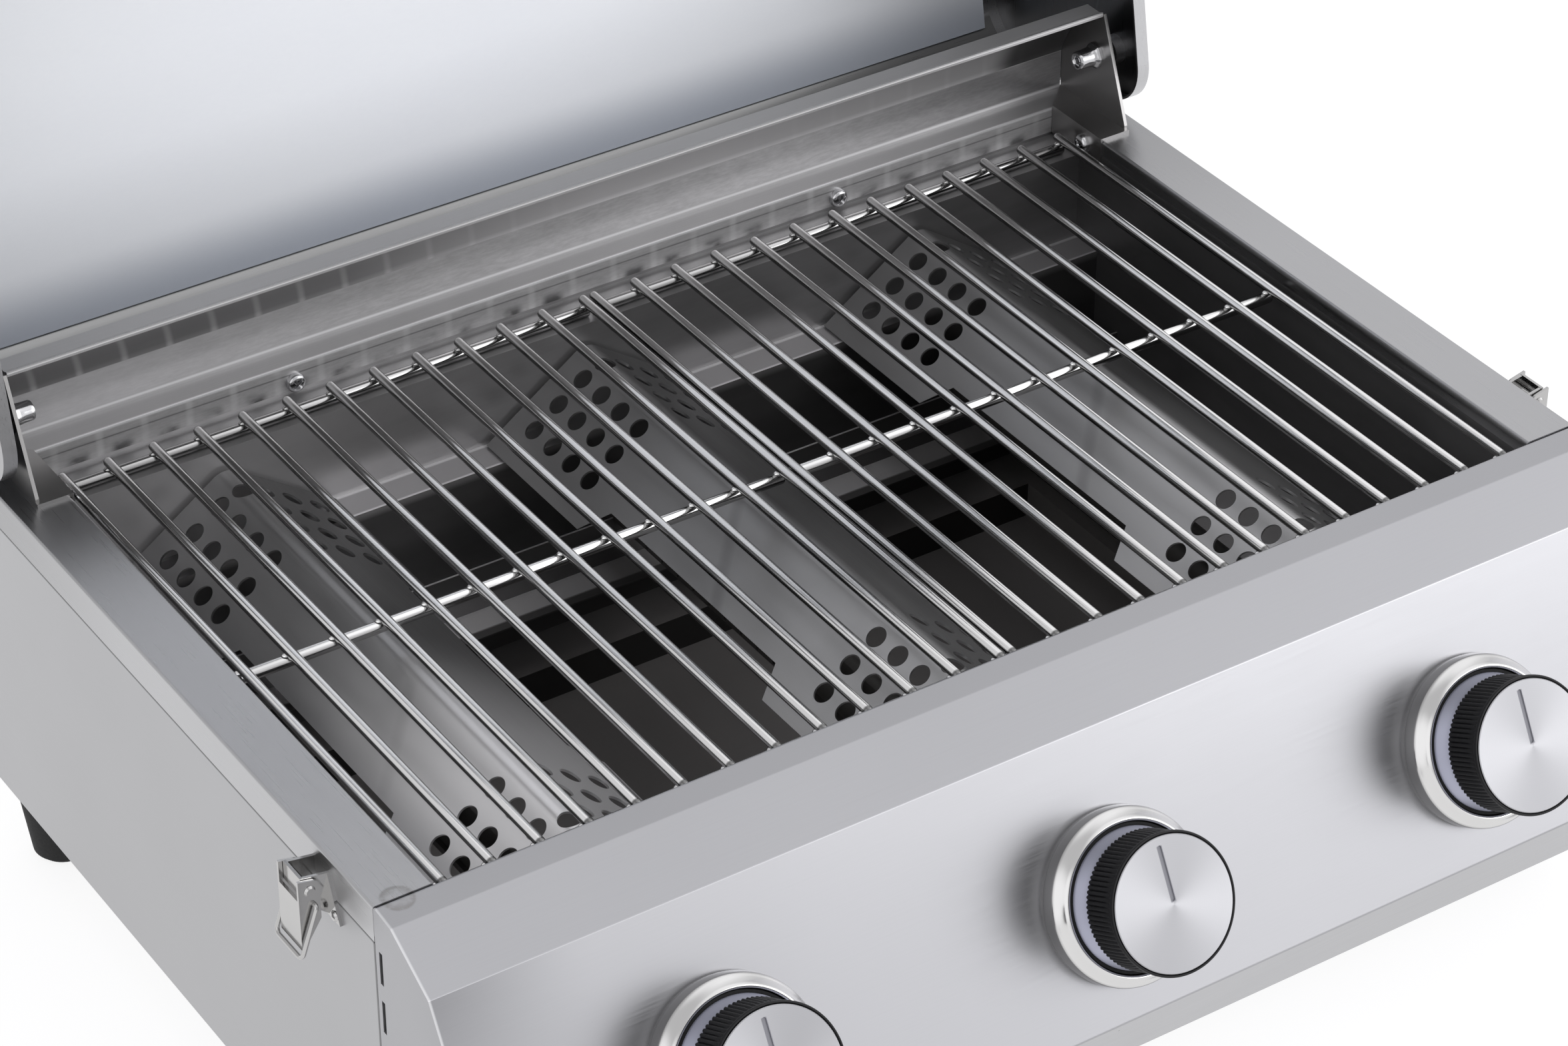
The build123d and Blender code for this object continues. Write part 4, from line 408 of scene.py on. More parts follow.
def backsplash_finish():
    """Dull sheet over the fire, in painted light and shade: a painted dark hood with painted rod
    reflections, a lighter mottled wall, painted highlights on its folds, and a skirt with spots of painted
    shade between painted rod reflections."""
    finish = brushed("backsplash_sheet", (0.52, 0.515, 0.52), 0.34, GRAIN_X, "X",
                     variation=0.08, blotch=0.10, metal=0.55)
    x, y, z = finish.split()
    patch = finish.noise(1.0, finish.mapped(scale=(0.016, 0.030, 0.007)), detail=3.0)
    mottle = finish.noise(1.0, finish.mapped(scale=(0.006, 0.006, 0.0013)), detail=4.0, rough=0.7)
    mottled = finish.fall(mottle, 0.38, 0.62)

    # Painted reflections of the rods, as far apart as the rods; on the hood they lean with its forward curl
    from_rod = finish.maths("PINGPONG", x, ROD_PITCH / 2)
    streak = finish.all_of(finish.fall(from_rod, 0.0004, 0.0026, smooth=True),
                           finish.span(patch, 0.30, 0.62, 0.25, 1.0))
    leaning = finish.maths("MULTIPLY_ADD", finish.maths("SUBTRACT", y, WALL_Y), -HOOD_REFLECTION_LEAN, x)
    from_leaning = finish.maths("PINGPONG", leaning, ROD_PITCH / 2)
    hood_rod_reflection = finish.fall(from_leaning, 0.0002, 0.0024, smooth=True)

    # The parts of the sheet
    behind_lip = finish.rise(y, HOOD_FRONT_Y + 0.0001, HOOD_FRONT_Y + 0.0002)
    on_top = finish.rise(z, HOOD_TOP_Z - 0.0002, HOOD_TOP_Z - 0.0001)
    top_edge_highlight = finish.span(y, HOOD_BACK_Y - 0.0011, HOOD_BACK_Y - 0.0008, 0.0, 0.8)
    hood = finish.all_of(finish.rise(z, WALL_TOP_Z, WALL_TOP_Z + 0.0003),
                         behind_lip, finish.outside(on_top))
    wall = finish.within(z, RIM_Z + 0.0022, WALL_TOP_Z)
    ledge = finish.all_of(finish.within(y, SKIRT_Y + 0.0012, WALL_Y - 0.0006),
                          finish.rise(z, RIM_Z - 0.0015, RIM_Z - 0.0010))
    skirt = finish.all_of(finish.fall(y, SKIRT_Y + 0.0002, SKIRT_Y + 0.0010),
                          finish.fall(z, RIM_Z - 0.0010, RIM_Z - 0.0004))
    skirt_low = finish.fall(z, RIM_Z - 0.0115, RIM_Z - 0.0060, smooth=True)
    skirt_line = finish.within(z, RIM_Z - 0.0047, RIM_Z - 0.0041, 0.0002)
    shade_spots = finish.all_of(finish.rise(from_rod, 0.0035, 0.0080, smooth=True),
                           finish.rise(patch, 0.38, 0.58))
    wall_bend_highlight = finish.all_of(finish.within(z, RIM_Z + 0.0006, RIM_Z + 0.0018),
                              finish.rise(y, WALL_Y - 0.0020, WALL_Y - 0.0012))
    skirt_bend_highlight = finish.all_of(finish.within(y, SKIRT_Y - 0.0012, SKIRT_Y + 0.0008),
                               finish.within(z, RIM_Z - 0.0008, RIM_Z + 0.0010))

    # Hood and wall, in painted shade and light: darker low down and at the left end, paler to the right,
    # black painted shade in the far right corner
    finish.dim(finish.all_of(hood, finish.fall(z, WALL_TOP_Z, HOOD_TOP_Z)), 0.76)
    finish.dim(finish.all_of(hood, finish.fall(x, -0.10, 0.27)), 0.88)
    finish.over(finish.all_of(hood, finish.span(x, -0.18, 0.27, 0.0, 0.55)), PALE)
    finish.over(finish.all_of(wall, finish.span(x, -0.15, 0.27, 0.0, 0.62)), (0.86, 0.85, 0.87))
    finish.dim(finish.all_of(hood, finish.fall(x, -0.18, 0.02, smooth=True)), 0.74)
    # painted reflections of the rods on the hood
    finish.over(finish.all_of(hood, hood_rod_reflection, finish.span(x, -0.05, 0.15, 0.42, 0.20)), PALE)
    # a pale band of painted light across the middle of the hood
    finish.over(finish.all_of(hood, finish.within(x, -0.040, 0.140, 0.060)), PALE)
    finish.dim(finish.all_of(wall, finish.rise(x, 0.10, 0.24, smooth=True)), 0.40)
    # black painted shade in the far right corner, by the bracket
    finish.dim(finish.all_of(hood, finish.rise(x, 0.220, 0.236, smooth=True)), 0.18)
    finish.dim(finish.all_of(wall, finish.span(patch, 0.35, 0.65, 0.30, 0.0)), 0.75)
    finish.dim(finish.all_of(wall, mottled), 0.86)
    finish.over(finish.all_of(wall, finish.span(x, -0.20, -0.08, 0.40, 0.0)), (0.78, 0.77, 0.79))

    # Ledge and skirt, then painted highlights on the bends, and the top with a painted highlight along its
    # back edge
    finish.dim(ledge, 0.74)
    finish.over(finish.all_of(skirt, finish.span(x, -0.20, 0.20, 0.0, 0.10)), (0.80, 0.80, 0.82))
    # painted shade: dark spots low on the skirt, between the rods
    finish.dim(finish.all_of(skirt, skirt_low, shade_spots), 0.28)
    finish.dim(finish.all_of(skirt, mottled), 0.88)
    finish.dim(finish.all_of(skirt, skirt_line), 0.5)
    # painted reflections of the rods on the skirt
    finish.over(finish.all_of(skirt, streak, 0.4), (0.78, 0.78, 0.78))
    # painted highlights along the bends
    for bend_highlight in (wall_bend_highlight, skirt_bend_highlight):
        finish.over(bend_highlight, (0.86, 0.86, 0.87))
    finish.dim(finish.all_of(on_top, behind_lip), 0.56)
    # painted highlight along the top's back edge
    finish.over(finish.all_of(on_top, top_edge_highlight), (0.60, 0.63, 0.67))
    return finish.paint()


def tamer_finish():
    """Heat-dulled sheet with soft smears and a dark leaning streak on each left slope; painted shade
    towards the back and on the slopes that face right, and painted light on the left tamer's front."""
    finish = brushed("tamer_sheet", (0.56, 0.555, 0.56), 0.34, GRAIN_Y, "Y",
                     variation=0.02, blotch=0.14, grit=0.012, metal=0.72)
    smear = finish.noise(1.0, finish.mapped(scale=(0.020, 0.060, 0.030)), detail=2.0)
    x, y = finish.split()[:2]
    # painted shade towards the back
    finish.dim(finish.rise(y, -0.125, 0.010, smooth=True), 0.62)
    finish.dim(finish.rise(smear, 0.42, 0.75), 0.80)
    # painted shade on the slopes that face right
    finish.dim(finish.span(finish.facing()[0], -0.1, 0.3, 0.25, 1.0), 0.50)
    for middle, line in TAMER_STREAKS:
        lean = finish.maths("SUBTRACT", finish.maths("SUBTRACT", y, x), line - middle)
        left_slope = finish.within(x, middle - 0.046, middle - 0.003, 0.002)
        finish.dim(finish.all_of(left_slope, finish.within(lean, -0.0015, 0.0015, 0.0035)), 0.62)
    # painted light on the front of the left tamer
    left_front_light = finish.all_of(finish.fall(x, -0.12, -0.10),
                               finish.span(y, -0.13, 0.0, 0.75, 0.0, smooth=True))
    finish.over(left_front_light, (0.88, 0.87, 0.88))
    return finish.paint()


def firebox_finish():
    """Smoked sheet: clouded walls, ledges with painted shade under the tamers and painted highlights at
    their bends, walls in painted light and shade, and rails round the tray's opening that shine where the
    light falls in."""
    finish = brushed("firebox_sheet", (0.42, 0.415, 0.42), 0.34, GRAIN_X, "X",
                     variation=0.05, blotch=0.08, metal=0.68)
    smear = finish.noise(1.0, finish.mapped(scale=(0.060, 0.060, 0.012)), detail=4.0)
    sideways, lengthways, upright = finish.facing()
    x, y, z = finish.split()
    level = finish.rise(upright, 0.90, 0.97)
    ledges = finish.all_of(level, finish.within(z, *LEDGES_Z))
    bends = finish.maths("ADD", finish.within(y, *LEDGE_LIP_Y), finish.within(y, *LEDGE_BEND_Y))
    between = finish.rise(finish.maths("PINGPONG", x, KNOB_X["right"] / 2), 0.030, 0.042)
    rear = finish.fall(lengthways, -0.8, -0.6)
    rails = finish.all_of(level, finish.fall(z, *RAILS_BELOW_Z))
    lit = finish.maths("ADD", finish.fall(x, -0.030, -0.018), finish.within(x, 0.050, 0.125, 0.008))
    lit = finish.all_of(lit, finish.rise(y, RAIL_BRIGHT_Y, RAIL_BRIGHT_Y + 0.0006))
    rail_front_shade = finish.within(y, RAIL_BRIGHT_Y - 0.0112, RAIL_BRIGHT_Y - 0.0002, 0.0005)

    # Smears, then the ledges: painted shade under the tamers, and painted highlights on the bends between
    # them
    finish.dim(finish.rise(smear, 0.40, 0.75), 0.82)
    finish.over(finish.all_of(ledges, between), (0.43, 0.42, 0.43))
    # painted shade on the ledges under the tamers
    finish.dim(finish.all_of(ledges, finish.outside(between)), 0.40)
    # painted highlights on the ledges' bends
    finish.over(finish.all_of(ledges, bends, between, between), (0.82, 0.81, 0.82))
    # The rear walls, in painted light and shade: paler at the left end, darker to the right and low down
    finish.over(finish.all_of(rear, finish.span(x, -0.14, -0.08, 0.45, 0.0)), PALE)
    finish.dim(finish.all_of(rear, finish.rise(x, -0.14, 0.16)), 0.55)
    finish.dim(finish.all_of(rear, finish.fall(z, 0.134, 0.137)), 0.34)
    # Painted shade on the right wall, and the rails with painted shade along their front edge
    finish.dim(finish.fall(sideways, -0.8, -0.6), 0.40)
    finish.over(finish.all_of(rails, 0.8), (0.62, 0.60, 0.60))
    finish.over(finish.all_of(rails, lit), (0.97, 0.95, 0.96))
    finish.dim(finish.all_of(rails, rail_front_shade), 0.30)
    # painted shade on the rear walls below the rails
    finish.dim(finish.all_of(rear, finish.fall(z, 0.0820, 0.0835)), 0.35)
    return finish.paint()


def tray_finish():
    """Smoked drip tray, with painted shade on the wall that faces forward."""
    finish = brushed("tray_sheet", (0.20, 0.19, 0.187), 0.46, GRAIN_X, "X", blotch=0.16, metal=0.3)
    finish.dim(finish.fall(finish.facing()[1], -0.8, -0.6), 0.12)
    return finish.paint()


def liner_finish():
    """Bright inner skin of the lid, with a soft band of painted shade where it meets the hood."""
    finish = brushed("bright_liner", (0.925, 0.945, 1.0), 0.36, (0.004, 0.004, 0.0012), "X",
                     variation=0.012, blotch=0.02, pull=0.0, metal=0.08)
    z = finish.split()[2]
    # painted shade low on the liner, by the hood
    finish.over(finish.span(z, LINER_LOW_Z, LINER_BRIGHT_Z, 0.48, 0.0, smooth=True), (0.080, 0.130, 0.220))
    finish.dim(finish.rise(z, 0.30, 0.42), 0.88)
    return finish.paint()


def lid_finish():
    """Brushed lid; the hem along its lower back edge is darker where it shows under the liner."""
    finish = brushed("brushed_lid", STEEL, 0.30, GRAIN_X, "X")
    y, z = finish.split()[1:]
    hem = finish.all_of(finish.fall(z, HEM_TOP_Z, HEM_TOP_Z + 0.0010),
                        finish.rise(y, HEM_Y, HEM_Y + 0.0005))
    inner = finish.fall(finish.facing()[1], -0.3, -0.1)
    finish.over(finish.all_of(hem, inner), (0.285, 0.285, 0.285))
    return finish.paint()


def panel_finish():
    """Brushed control panel: its folded strips take a little less light than its slope, the slope's left
    end is shaded, and a painted highlight runs along its cut ends."""
    finish = brushed("brushed_panel", (0.425, 0.425, 0.442), 0.33, GRAIN_X, "X",
                     variation=0.035, blotch=0.03)
    sideways, _, upright = finish.facing()
    x, y, z = finish.split()
    finish.dim(finish.rise(upright, 0.55, 0.65), 0.88)
    finish.dim(finish.fall(upright, 0.20, 0.35), 0.90)
    corner = finish.all_of(finish.fall(x, -0.285, -0.205, smooth=True),
                           finish.span(z, 0.130, 0.176, 0.3, 1.0))
    slope = finish.all_of(finish.rise(upright, 0.40, 0.45), finish.fall(upright, 0.52, 0.56))
    finish.dim(finish.all_of(corner, slope), 0.58)
    forward = finish.fall(finish.maths("ABSOLUTE", sideways), 0.3, 0.5)
    # painted highlight along the cut ends
    end = finish.span(finish.maths("ABSOLUTE", x), HALF_WIDTH - 0.0012, HALF_WIDTH - 0.0006, 0.0, 0.6)
    finish.over(finish.all_of(end, forward), (0.72, 0.72, 0.73))
    weld_mark(finish, x, y)
    return finish.paint()


def above_panel(finish, x=0.0):
    """Distances across the panel, up it and out of it, from the seat of the knob at x."""
    return finish.split(finish.mapped(place=(x, KNOB_Y, KNOB_Z), turn=(np.pi / 2 - PANEL_LEAN, 0.0, 0.0)))


def cap_finish(name, x):
    """Turned disc with a cut pointer: rings run round its axis, so the light fans out from the middle."""
    rings_per_metre = 2600.0
    pointer_half_width, pointer_start, pointer_end = 0.00112, 0.0009, 0.0224
    finish = Finish(name, (0.44, 0.44, 0.45), 1.0, 0.30)
    across, up = above_panel(finish, x)[:2]
    rings = finish.node("ShaderNodeCombineXYZ")
    finish.link(finish.maths("MULTIPLY", finish.distance(across, up), rings_per_metre), rings.inputs[0])
    hair = finish.noise(1.0, rings.outputs[0], detail=2.0)
    finish.tint(hair, (0.375, 0.375, 0.39), (0.415, 0.415, 0.432))
    pointer = finish.all_of(finish.within(across, -pointer_half_width, pointer_half_width, 0.00006),
                            finish.within(up, pointer_start, pointer_end, 0.0002))
    finish.over(pointer, (0.22, 0.22, 0.245))
    finish.link(finish.outside(pointer), finish.shader.inputs["Metallic"])
    finish.rough(finish.span(hair, 0.3, 0.7, 0.33, 0.39))
    # The brushing's direction at each point: a quarter turn on from the way to the middle
    tangent = finish.node("ShaderNodeCombineXYZ")
    finish.link(finish.maths("MULTIPLY", up, -1.0), tangent.inputs[0])
    finish.link(finish.maths("MULTIPLY", across, float(PANEL_UP[1])), tangent.inputs[1])
    finish.link(finish.maths("MULTIPLY", across, float(PANEL_UP[2])), tangent.inputs[2])
    finish.link(tangent.outputs[0], finish.shader.inputs["Tangent"])
    finish.shader.inputs["Anisotropic"].default_value = 0.62
    return finish.paint()


def bezel_finish():
    """Satin bezel: its sloping band is bright, and painted shade dulls its upright flank."""
    finish = plain("satin_bezel", (0.64, 0.635, 0.63), 1.0, 0.17, 300.0, 0.0,
                   variation=0.03, rough_span=0.02)
    out = above_panel(finish)[2]
    # painted shade on the upright flank
    finish.dim(finish.fall(out, 0.0072, 0.0082), 0.50)
    return finish.paint()


def collar_finish():
    """Pale moulded collar, with painted shade towards its top and its bottom."""
    finish = plain("pale_ring", (0.46, 0.47, 0.58), 0.0, 0.45, 900.0, 0.04, variation=0.04)
    up = finish.maths("ABSOLUTE", above_panel(finish)[1])
    # painted shade towards the top and the bottom
    finish.dim(finish.rise(up, 0.012, 0.024, smooth=True), 0.50)
    return finish.paint()


def bracket_finish():
    """Hinge plates: painted dark reflection on their flat sides, bright cut edges, and painted light on the
    right one.
    """
    finish = plain("hinge_plate_sheet", (0.36, 0.355, 0.35), 1.0, 0.30, 420.0, 0.0,
                   variation=0.05, rough_span=0.02)
    sideways = finish.maths("ABSOLUTE", finish.facing()[0])
    # painted reflection: flat sides darkened as if reflecting the dark grill
    finish.dim(finish.rise(sideways, 0.6, 0.9), 0.76)
    # painted light on the right plate
    finish.over(finish.span(finish.split()[0], 0.0, 0.01, 0.0, 0.35), (0.66, 0.65, 0.65))
    return finish.paint()


def weld_mark(finish, x, y):
    """The faint brown ring of a spot weld in the left front corner, broken up by noise."""
    reach = finish.distance(finish.maths("SUBTRACT", x, WELD_X), finish.maths("SUBTRACT", y, WELD_Y))
    ring = finish.all_of(finish.span(reach, 0.0030, 0.0055, 0.3, 1.0), finish.fall(reach, 0.0060, 0.0068))
    worn = finish.span(finish.noise(420.0, detail=3.0), 0.35, 0.60, 0.2, 1.0)
    finish.over(finish.all_of(ring, worn, 0.55), (0.21, 0.20, 0.19))


def rod_finish():
    """Drawn wire, polished, with painted shade on its flanks, on the sides that face right and towards the
    back, and where the front ends run under the panel's lip."""
    finish = brushed("drawn_rod", (0.84, 0.835, 0.83), 0.13, (0.005, LONG, 0.005), "Y",
                     variation=0.01, blotch=0.03, pull=0.0, grit=0.0)
    sideways, _, upright = finish.facing()
    y = finish.split()[1]
    # painted shade on the flanks, on the sides that face right, and towards the back
    finish.dim(finish.fall(upright, 0.25, 0.70, smooth=True), 0.40)
    finish.dim(finish.rise(sideways, 0.15, 0.60, smooth=True), 0.50)
    finish.dim(finish.rise(y, -0.03, 0.12, smooth=True), 0.66)
    finish.dim(finish.fall(y, ROD_SHADE_Y, ROD_SHADE_Y + 0.0008), 0.22)
    return finish.paint()


def side_finish():
    """Brushed side sheet, with a dark line where it meets the rim above and the panel in front."""
    finish = brushed("brushed_side", (0.430, 0.430, 0.440), 0.34, GRAIN_Y, "Y")
    y, z = finish.split()[1:]
    finish.dim(finish.rise(z, RIM_Z - 0.0169, RIM_Z - 0.0166), 0.45)
    finish.dim(finish.fall(y, PANEL_SEAM_Y, PANEL_SEAM_Y + 0.0003), 0.40)
    return finish.paint()


def rim_finish():
    """Brushed rim that has dulled a little towards the hot back of the grill; the right one is painted
    darker, as shade.
    """
    finish = brushed("brushed_rim", (0.48, 0.48, 0.49), 0.30, GRAIN_Y, "Y", variation=0.04, blotch=0.03)
    x, y = finish.split()[:2]
    finish.dim(finish.rise(y, -0.02, 0.14, smooth=True), 0.74)
    # painted shade on the right rim
    finish.dim(finish.rise(x, 0.0, 0.1), 0.86)
    weld_mark(finish, x, y)
    return finish.paint()


def end_cap_finish():
    """Ends of the lid: brushed outside, darker inside, and the left one painted a little darker, as shade.
    """
    finish = brushed("brushed_end_cap", STEEL, 0.30, GRAIN_Z, "X", pull=0.0)
    x = finish.split()[0]
    outward = finish.maths("MULTIPLY", finish.facing()[0], finish.maths("SIGN", x))
    finish.dim(finish.fall(outward, -0.9, -0.6), 0.20)
    # painted shade on the left end cap
    finish.dim(finish.fall(x, 0.0, 0.01), 0.80)
    return finish.paint()


# Moulded, plated and machined finishes: name, colour, metal, roughness, grains per metre and depth of the
# grain; and where they differ from what plain takes, the variation of colour and of roughness
PLAIN_FINISHES = {
    # dark heated steel, its colour also standing in for the shade under the tamers so that their holes look
    # black
    "burner": ("heated_tube", (0.11, 0.105, 0.10), 0.6, 0.45, 500.0, 0.05, 0.10),
    "polished": ("polished_steel", (0.66, 0.655, 0.65), 1.0, 0.13, 900.0, 0.01, 0.03, 0.02),
    "stamped": ("plated_latch", (0.48, 0.475, 0.47), 1.0, 0.13, 500.0, 0.0, 0.08, 0.04),
    "hardware": ("plated_hardware", (0.55, 0.55, 0.56), 1.0, 0.18, 700.0, 0.05, 0.10, 0.05),
    "knob": ("black_moulding", (0.0025, 0.0025, 0.0035), 0.0, 0.50, 1500.0, 0.04),
    "spacer": ("black_oxide", (0.03, 0.03, 0.03), 0.6, 0.40, 900.0, 0.05),
    "brass": ("machined_brass", (0.70, 0.52, 0.25), 1.0, 0.26, 700.0, 0.06),
    "pipe": ("steel_tube", (0.42, 0.42, 0.42), 1.0, 0.34, 500.0, 0.08),
    "rubber": ("black_rubber", (0.003, 0.003, 0.0035), 0.0, 0.80, 1100.0, 0.10),
    "silicone": ("grey_silicone", (0.22, 0.22, 0.23), 0.0, 0.50, 900.0, 0.06),
    "ceramic": ("white_ceramic", (0.80, 0.78, 0.74), 0.0, 0.22, 900.0, 0.03),
    "box": ("black_holder", (0.03, 0.03, 0.03), 0.0, 0.48, 900.0, 0.06),
}


def make_finishes():
    """Every material, by the name of its finish."""
    made = {name: plain(*values).paint() for name, values in PLAIN_FINISHES.items()}
    made["knob"].shader.inputs["Specular IOR Level"].default_value = 0.3
    made["sheet_x"] = brushed("brushed_across", STEEL, 0.34, GRAIN_X, "X").paint()
    made["side"] = side_finish()
    made["rim"] = rim_finish()
    made["panel"] = panel_finish()
    made["lid"] = lid_finish()
    made["end_cap"] = end_cap_finish()
    made["wall"] = backsplash_finish()
    made["bracket"] = bracket_finish()
    made["firebox"] = firebox_finish()
    made["tray"] = tray_finish()
    made["tamer"] = tamer_finish()
    made["liner"] = liner_finish()
    made["rod"] = rod_finish()
    made["bezel"] = bezel_finish()
    made["ring"] = collar_finish()
    for name, x in KNOB_X.items():
        made["cap_" + name] = cap_finish("turned_cap_" + name, x)
    return made


FINISH_OF = {
    "sheet_x": ["rear_panel", "base_frame"],
    "side": ["side_panel_left", "side_panel_right"],
    "rim": ["rim_left", "rim_right"],
    "panel": ["front_fascia"],
    "lid": ["lid_shell"],
    "end_cap": ["lid_end_cap_left", "lid_end_cap_right"],
    "wall": ["backsplash"],
    "bracket": ["hinge_bracket_left", "hinge_bracket_right"],
    "firebox": ["firebox", "burner_rail", "tray_runners"],
    "burner": ["burners"],
    "tray": ["drip_tray"],
    "tamer": ["flame_tamer_left", "flame_tamer_centre", "flame_tamer_right"],
    "liner": ["lid_liner"],
    "rod": ["grate_left", "grate_right"],
    "polished": [
        "bezel_left", "bezel_centre", "bezel_right", "lid_handle", "handle_posts", "igniter_bezel",
    ],
    "stamped": [
        "latch_bases", "latch_lever_left", "latch_lever_right", "latch_bail_left", "latch_bail_right",
        "lid_catches", "latch_pins",
    ],
    "hardware": [
        "foot_screws", "panel_screws", "hinge_bolts",
        "valve_stem_left", "valve_stem_centre", "valve_stem_right",
    ],
    "cap_left": ["knob_cap_left"],
    "cap_centre": ["knob_cap_centre"],
    "cap_right": ["knob_cap_right"],
    "knob": ["knob_left", "knob_centre", "knob_right", "igniter_button"],
    "ring": ["seat_rings"],
    "spacer": ["hinge_spacers"],
    "brass": ["valves", "gas_inlet"],
    "pipe": ["manifold", "supply_tube"],
    "rubber": ["feet"],
    "silicone": ["lid_bumpers"],
    "ceramic": ["igniter_electrodes"],
    "box": ["igniter_box"],
}


def dress_nodes(finishes):
    """Gives every node of the frame its finish."""
    for finish, names in FINISH_OF.items():
        for name in names:
            mesh = nodes[name].data
            mesh.materials.clear()
            mesh.materials.append(finishes[finish].material)


# Pieces in finer detail than the solids


def surface(name, points, finish):
    """Closed skins over grids of points, rows along a profile and columns round an axis, one or many grids.
    Face (i, j) joins points (i, j), (i, j+1), (i+1, j+1) and (i+1, j), and columns run on to the start."""
    same_point, crease = 1e-7, np.radians(38)
    rows, columns = points.shape[-3:-1]
    grids = points.size // (3 * rows * columns)
    starts = np.arange(grids)[:, None, None] * rows * columns
    i, j = np.meshgrid(np.arange(rows - 1), np.arange(columns), indexing="ij")
    near, far, k = i * columns, (i + 1) * columns, (j + 1) % columns
    faces = np.stack([near + j, near + k, far + k, far + j], axis=-1)
    faces = starts + faces.reshape(-1, 4)
    mesh = bpy.data.meshes.new(name)
    mesh.from_pydata(points.reshape(-1, 3), [], faces.reshape(-1, 4))
    skin = bmesh.new()
    skin.from_mesh(mesh)
    bmesh.ops.remove_doubles(skin, verts=skin.verts, dist=same_point)
    bmesh.ops.recalc_face_normals(skin, faces=skin.faces)
    for face in skin.faces:
        face.smooth = True
    skin.to_mesh(mesh)
    skin.free()
    mesh.set_sharp_from_angle(angle=crease)
    mesh.materials.append(finish.material)
    piece = bpy.data.objects.new(name, mesh)
    bpy.context.scene.collection.objects.link(piece)
    return piece


def turned(profile, around, centre, across, up, out, reach=None):
    """Carries a profile round an axis: point = centre + r cos(a) across + r sin(a) up + h out, in metres,
    where r may be changed by reach(r, h, a)."""
    r, h = (np.array(profile) * MM).T
    a = np.linspace(0, 2 * np.pi, around, endpoint=False)
    r, h, a = np.broadcast_arrays(r[:, None], h[:, None], a[None, :])
    if reach is not None:
        r = reach(r, h, a)
    rings = [r * np.cos(a), r * np.sin(a), h]
    return centre + sum(ring[..., None] * way for ring, way in zip(rings, (across, up, out)))


def on_panel(profile, around, x, reach=None):
    """Carries a profile round the axis of the knob at x."""
    return turned(profile, around, np.array([x, KNOB_Y, KNOB_Z]), ACROSS, PANEL_UP, PANEL_OUT, reach)


def make_knobs(finish):
    """Knob bodies. The ribbed skirt is r(h, a) = r0(h) + d(h) |sin(n a / 2)| ^ 0.9, with n ribs whose depth
    d runs out under the smooth rim round the cap's seat; inside are the hub and the skirt's hollow."""
    low = KNOB_SKIRT_LOW
    rib_depth, rib_start, rib_top = 0.00075, 0.0256, 0.0340
    outline = [
        (0.0, 25.1), (4.05, 25.1), (4.05, 7.7), (7.0, 7.7), (7.0, 31.4), (24.9, 31.4), (25.3, 22.0),
        (25.4, low), (25.5, low - 0.1), (25.7, low + 0.1), (25.8, low + 0.4), (25.8, 24.0), (25.8, 30.0),
        (25.8, 33.4), (25.9, 34.0), (26.1, 34.8), (26.4, 35.3), (26.85, 35.5), (27.0, 35.8), (27.0, 36.5),
        (26.85, 36.9), (26.5, 37.0), (26.2, 36.95), (26.0, 36.7), (26.0, 34.62), (0.0, 34.62),
    ]

    def ribbed(r, h, a):
        outer = (r > rib_start) & (h < rib_top - 0.0002)
        depth = rib_depth * np.clip((rib_top - h) / 0.0012, 0, 1) * np.clip((h - low * MM) / 0.0003, 0, 1)
        return r + np.where(outer, depth * np.abs(np.sin(RIBS * a / 2)) ** 0.9, 0)

    for name, x in KNOB_X.items():
        piece = surface("knob_body_" + name, on_panel(outline, RIBS * 7, x, ribbed), finish)
        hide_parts("knob_" + name)
        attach(piece, "knob_" + name)


def make_bezels(finish):
    """Bezels: a plain foot, an upright flank, a wide sloping band and an inner lip rolled into the bore.
    The lip is an arc about its own middle: (r, h) = (r0 + q cos t, h0 + q sin t)."""
    lip_r, lip_h, lip_radius = 29.5, 11.35, 0.95
    roll = np.linspace(np.radians(58), np.radians(200), 14)
    lip = [(lip_r + lip_radius * np.cos(t), lip_h + lip_radius * np.sin(t)) for t in roll]
    outline = [
        (28.2, 0.0), (33.5, 0.0), (33.5, 1.1), (33.85, 1.5), (34.0, 2.0), (34.0, 3.3), (33.95, 6.8),
        (33.85, 7.4), (33.5, 7.9), (32.9, 8.4), (31.8, 9.5), (30.8, 11.0), *lip, (28.2, 9.6), (28.2, 0.0),
    ]
    for name, x in KNOB_X.items():
        piece = surface("bezel_ring_" + name, on_panel(outline, 144, x), finish)
        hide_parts("bezel_" + name)
        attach(piece, "body")


def make_collars(finish, dark):
    """Pale collars round the stems: a broad base that fills the bezel, and a cone that narrows into the
    knob. A black gasket closes the gap between collar and bezel, standing in for the shade deep in it."""
    outline = [
        (11.0, 0.0), (27.4, 0.0), (27.4, 3.0), (25.6, 3.2), (25.6, 9.6), (26.8, 9.9), (26.8, 11.6),
        (26.7, 12.0), (26.4, 12.4), (25.1, 15.2), (24.8, 15.7), (24.7, 16.4), (24.7, 19.0), (23.6, 19.0),
        (23.4, 12.0), (11.0, 12.0), (11.0, 0.0),
    ]
    gasket = [
        (25.65, 3.0), (28.15, 3.0), (28.15, 10.9), (27.5, 11.1), (26.85, 10.9), (26.85, 9.8), (25.65, 9.5),
        (25.65, 3.0),
    ]
    for name, x in KNOB_X.items():
        piece = surface("pale_collar_" + name, on_panel(outline, 120, x), finish)
        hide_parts("seat_rings")
        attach(piece, "body")
        # a black filler standing in for the shade in the gap
        piece = surface("gap_shade_gasket_" + name, on_panel(gasket, 120, x), dark)
        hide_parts("seat_rings")
        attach(piece, "body")


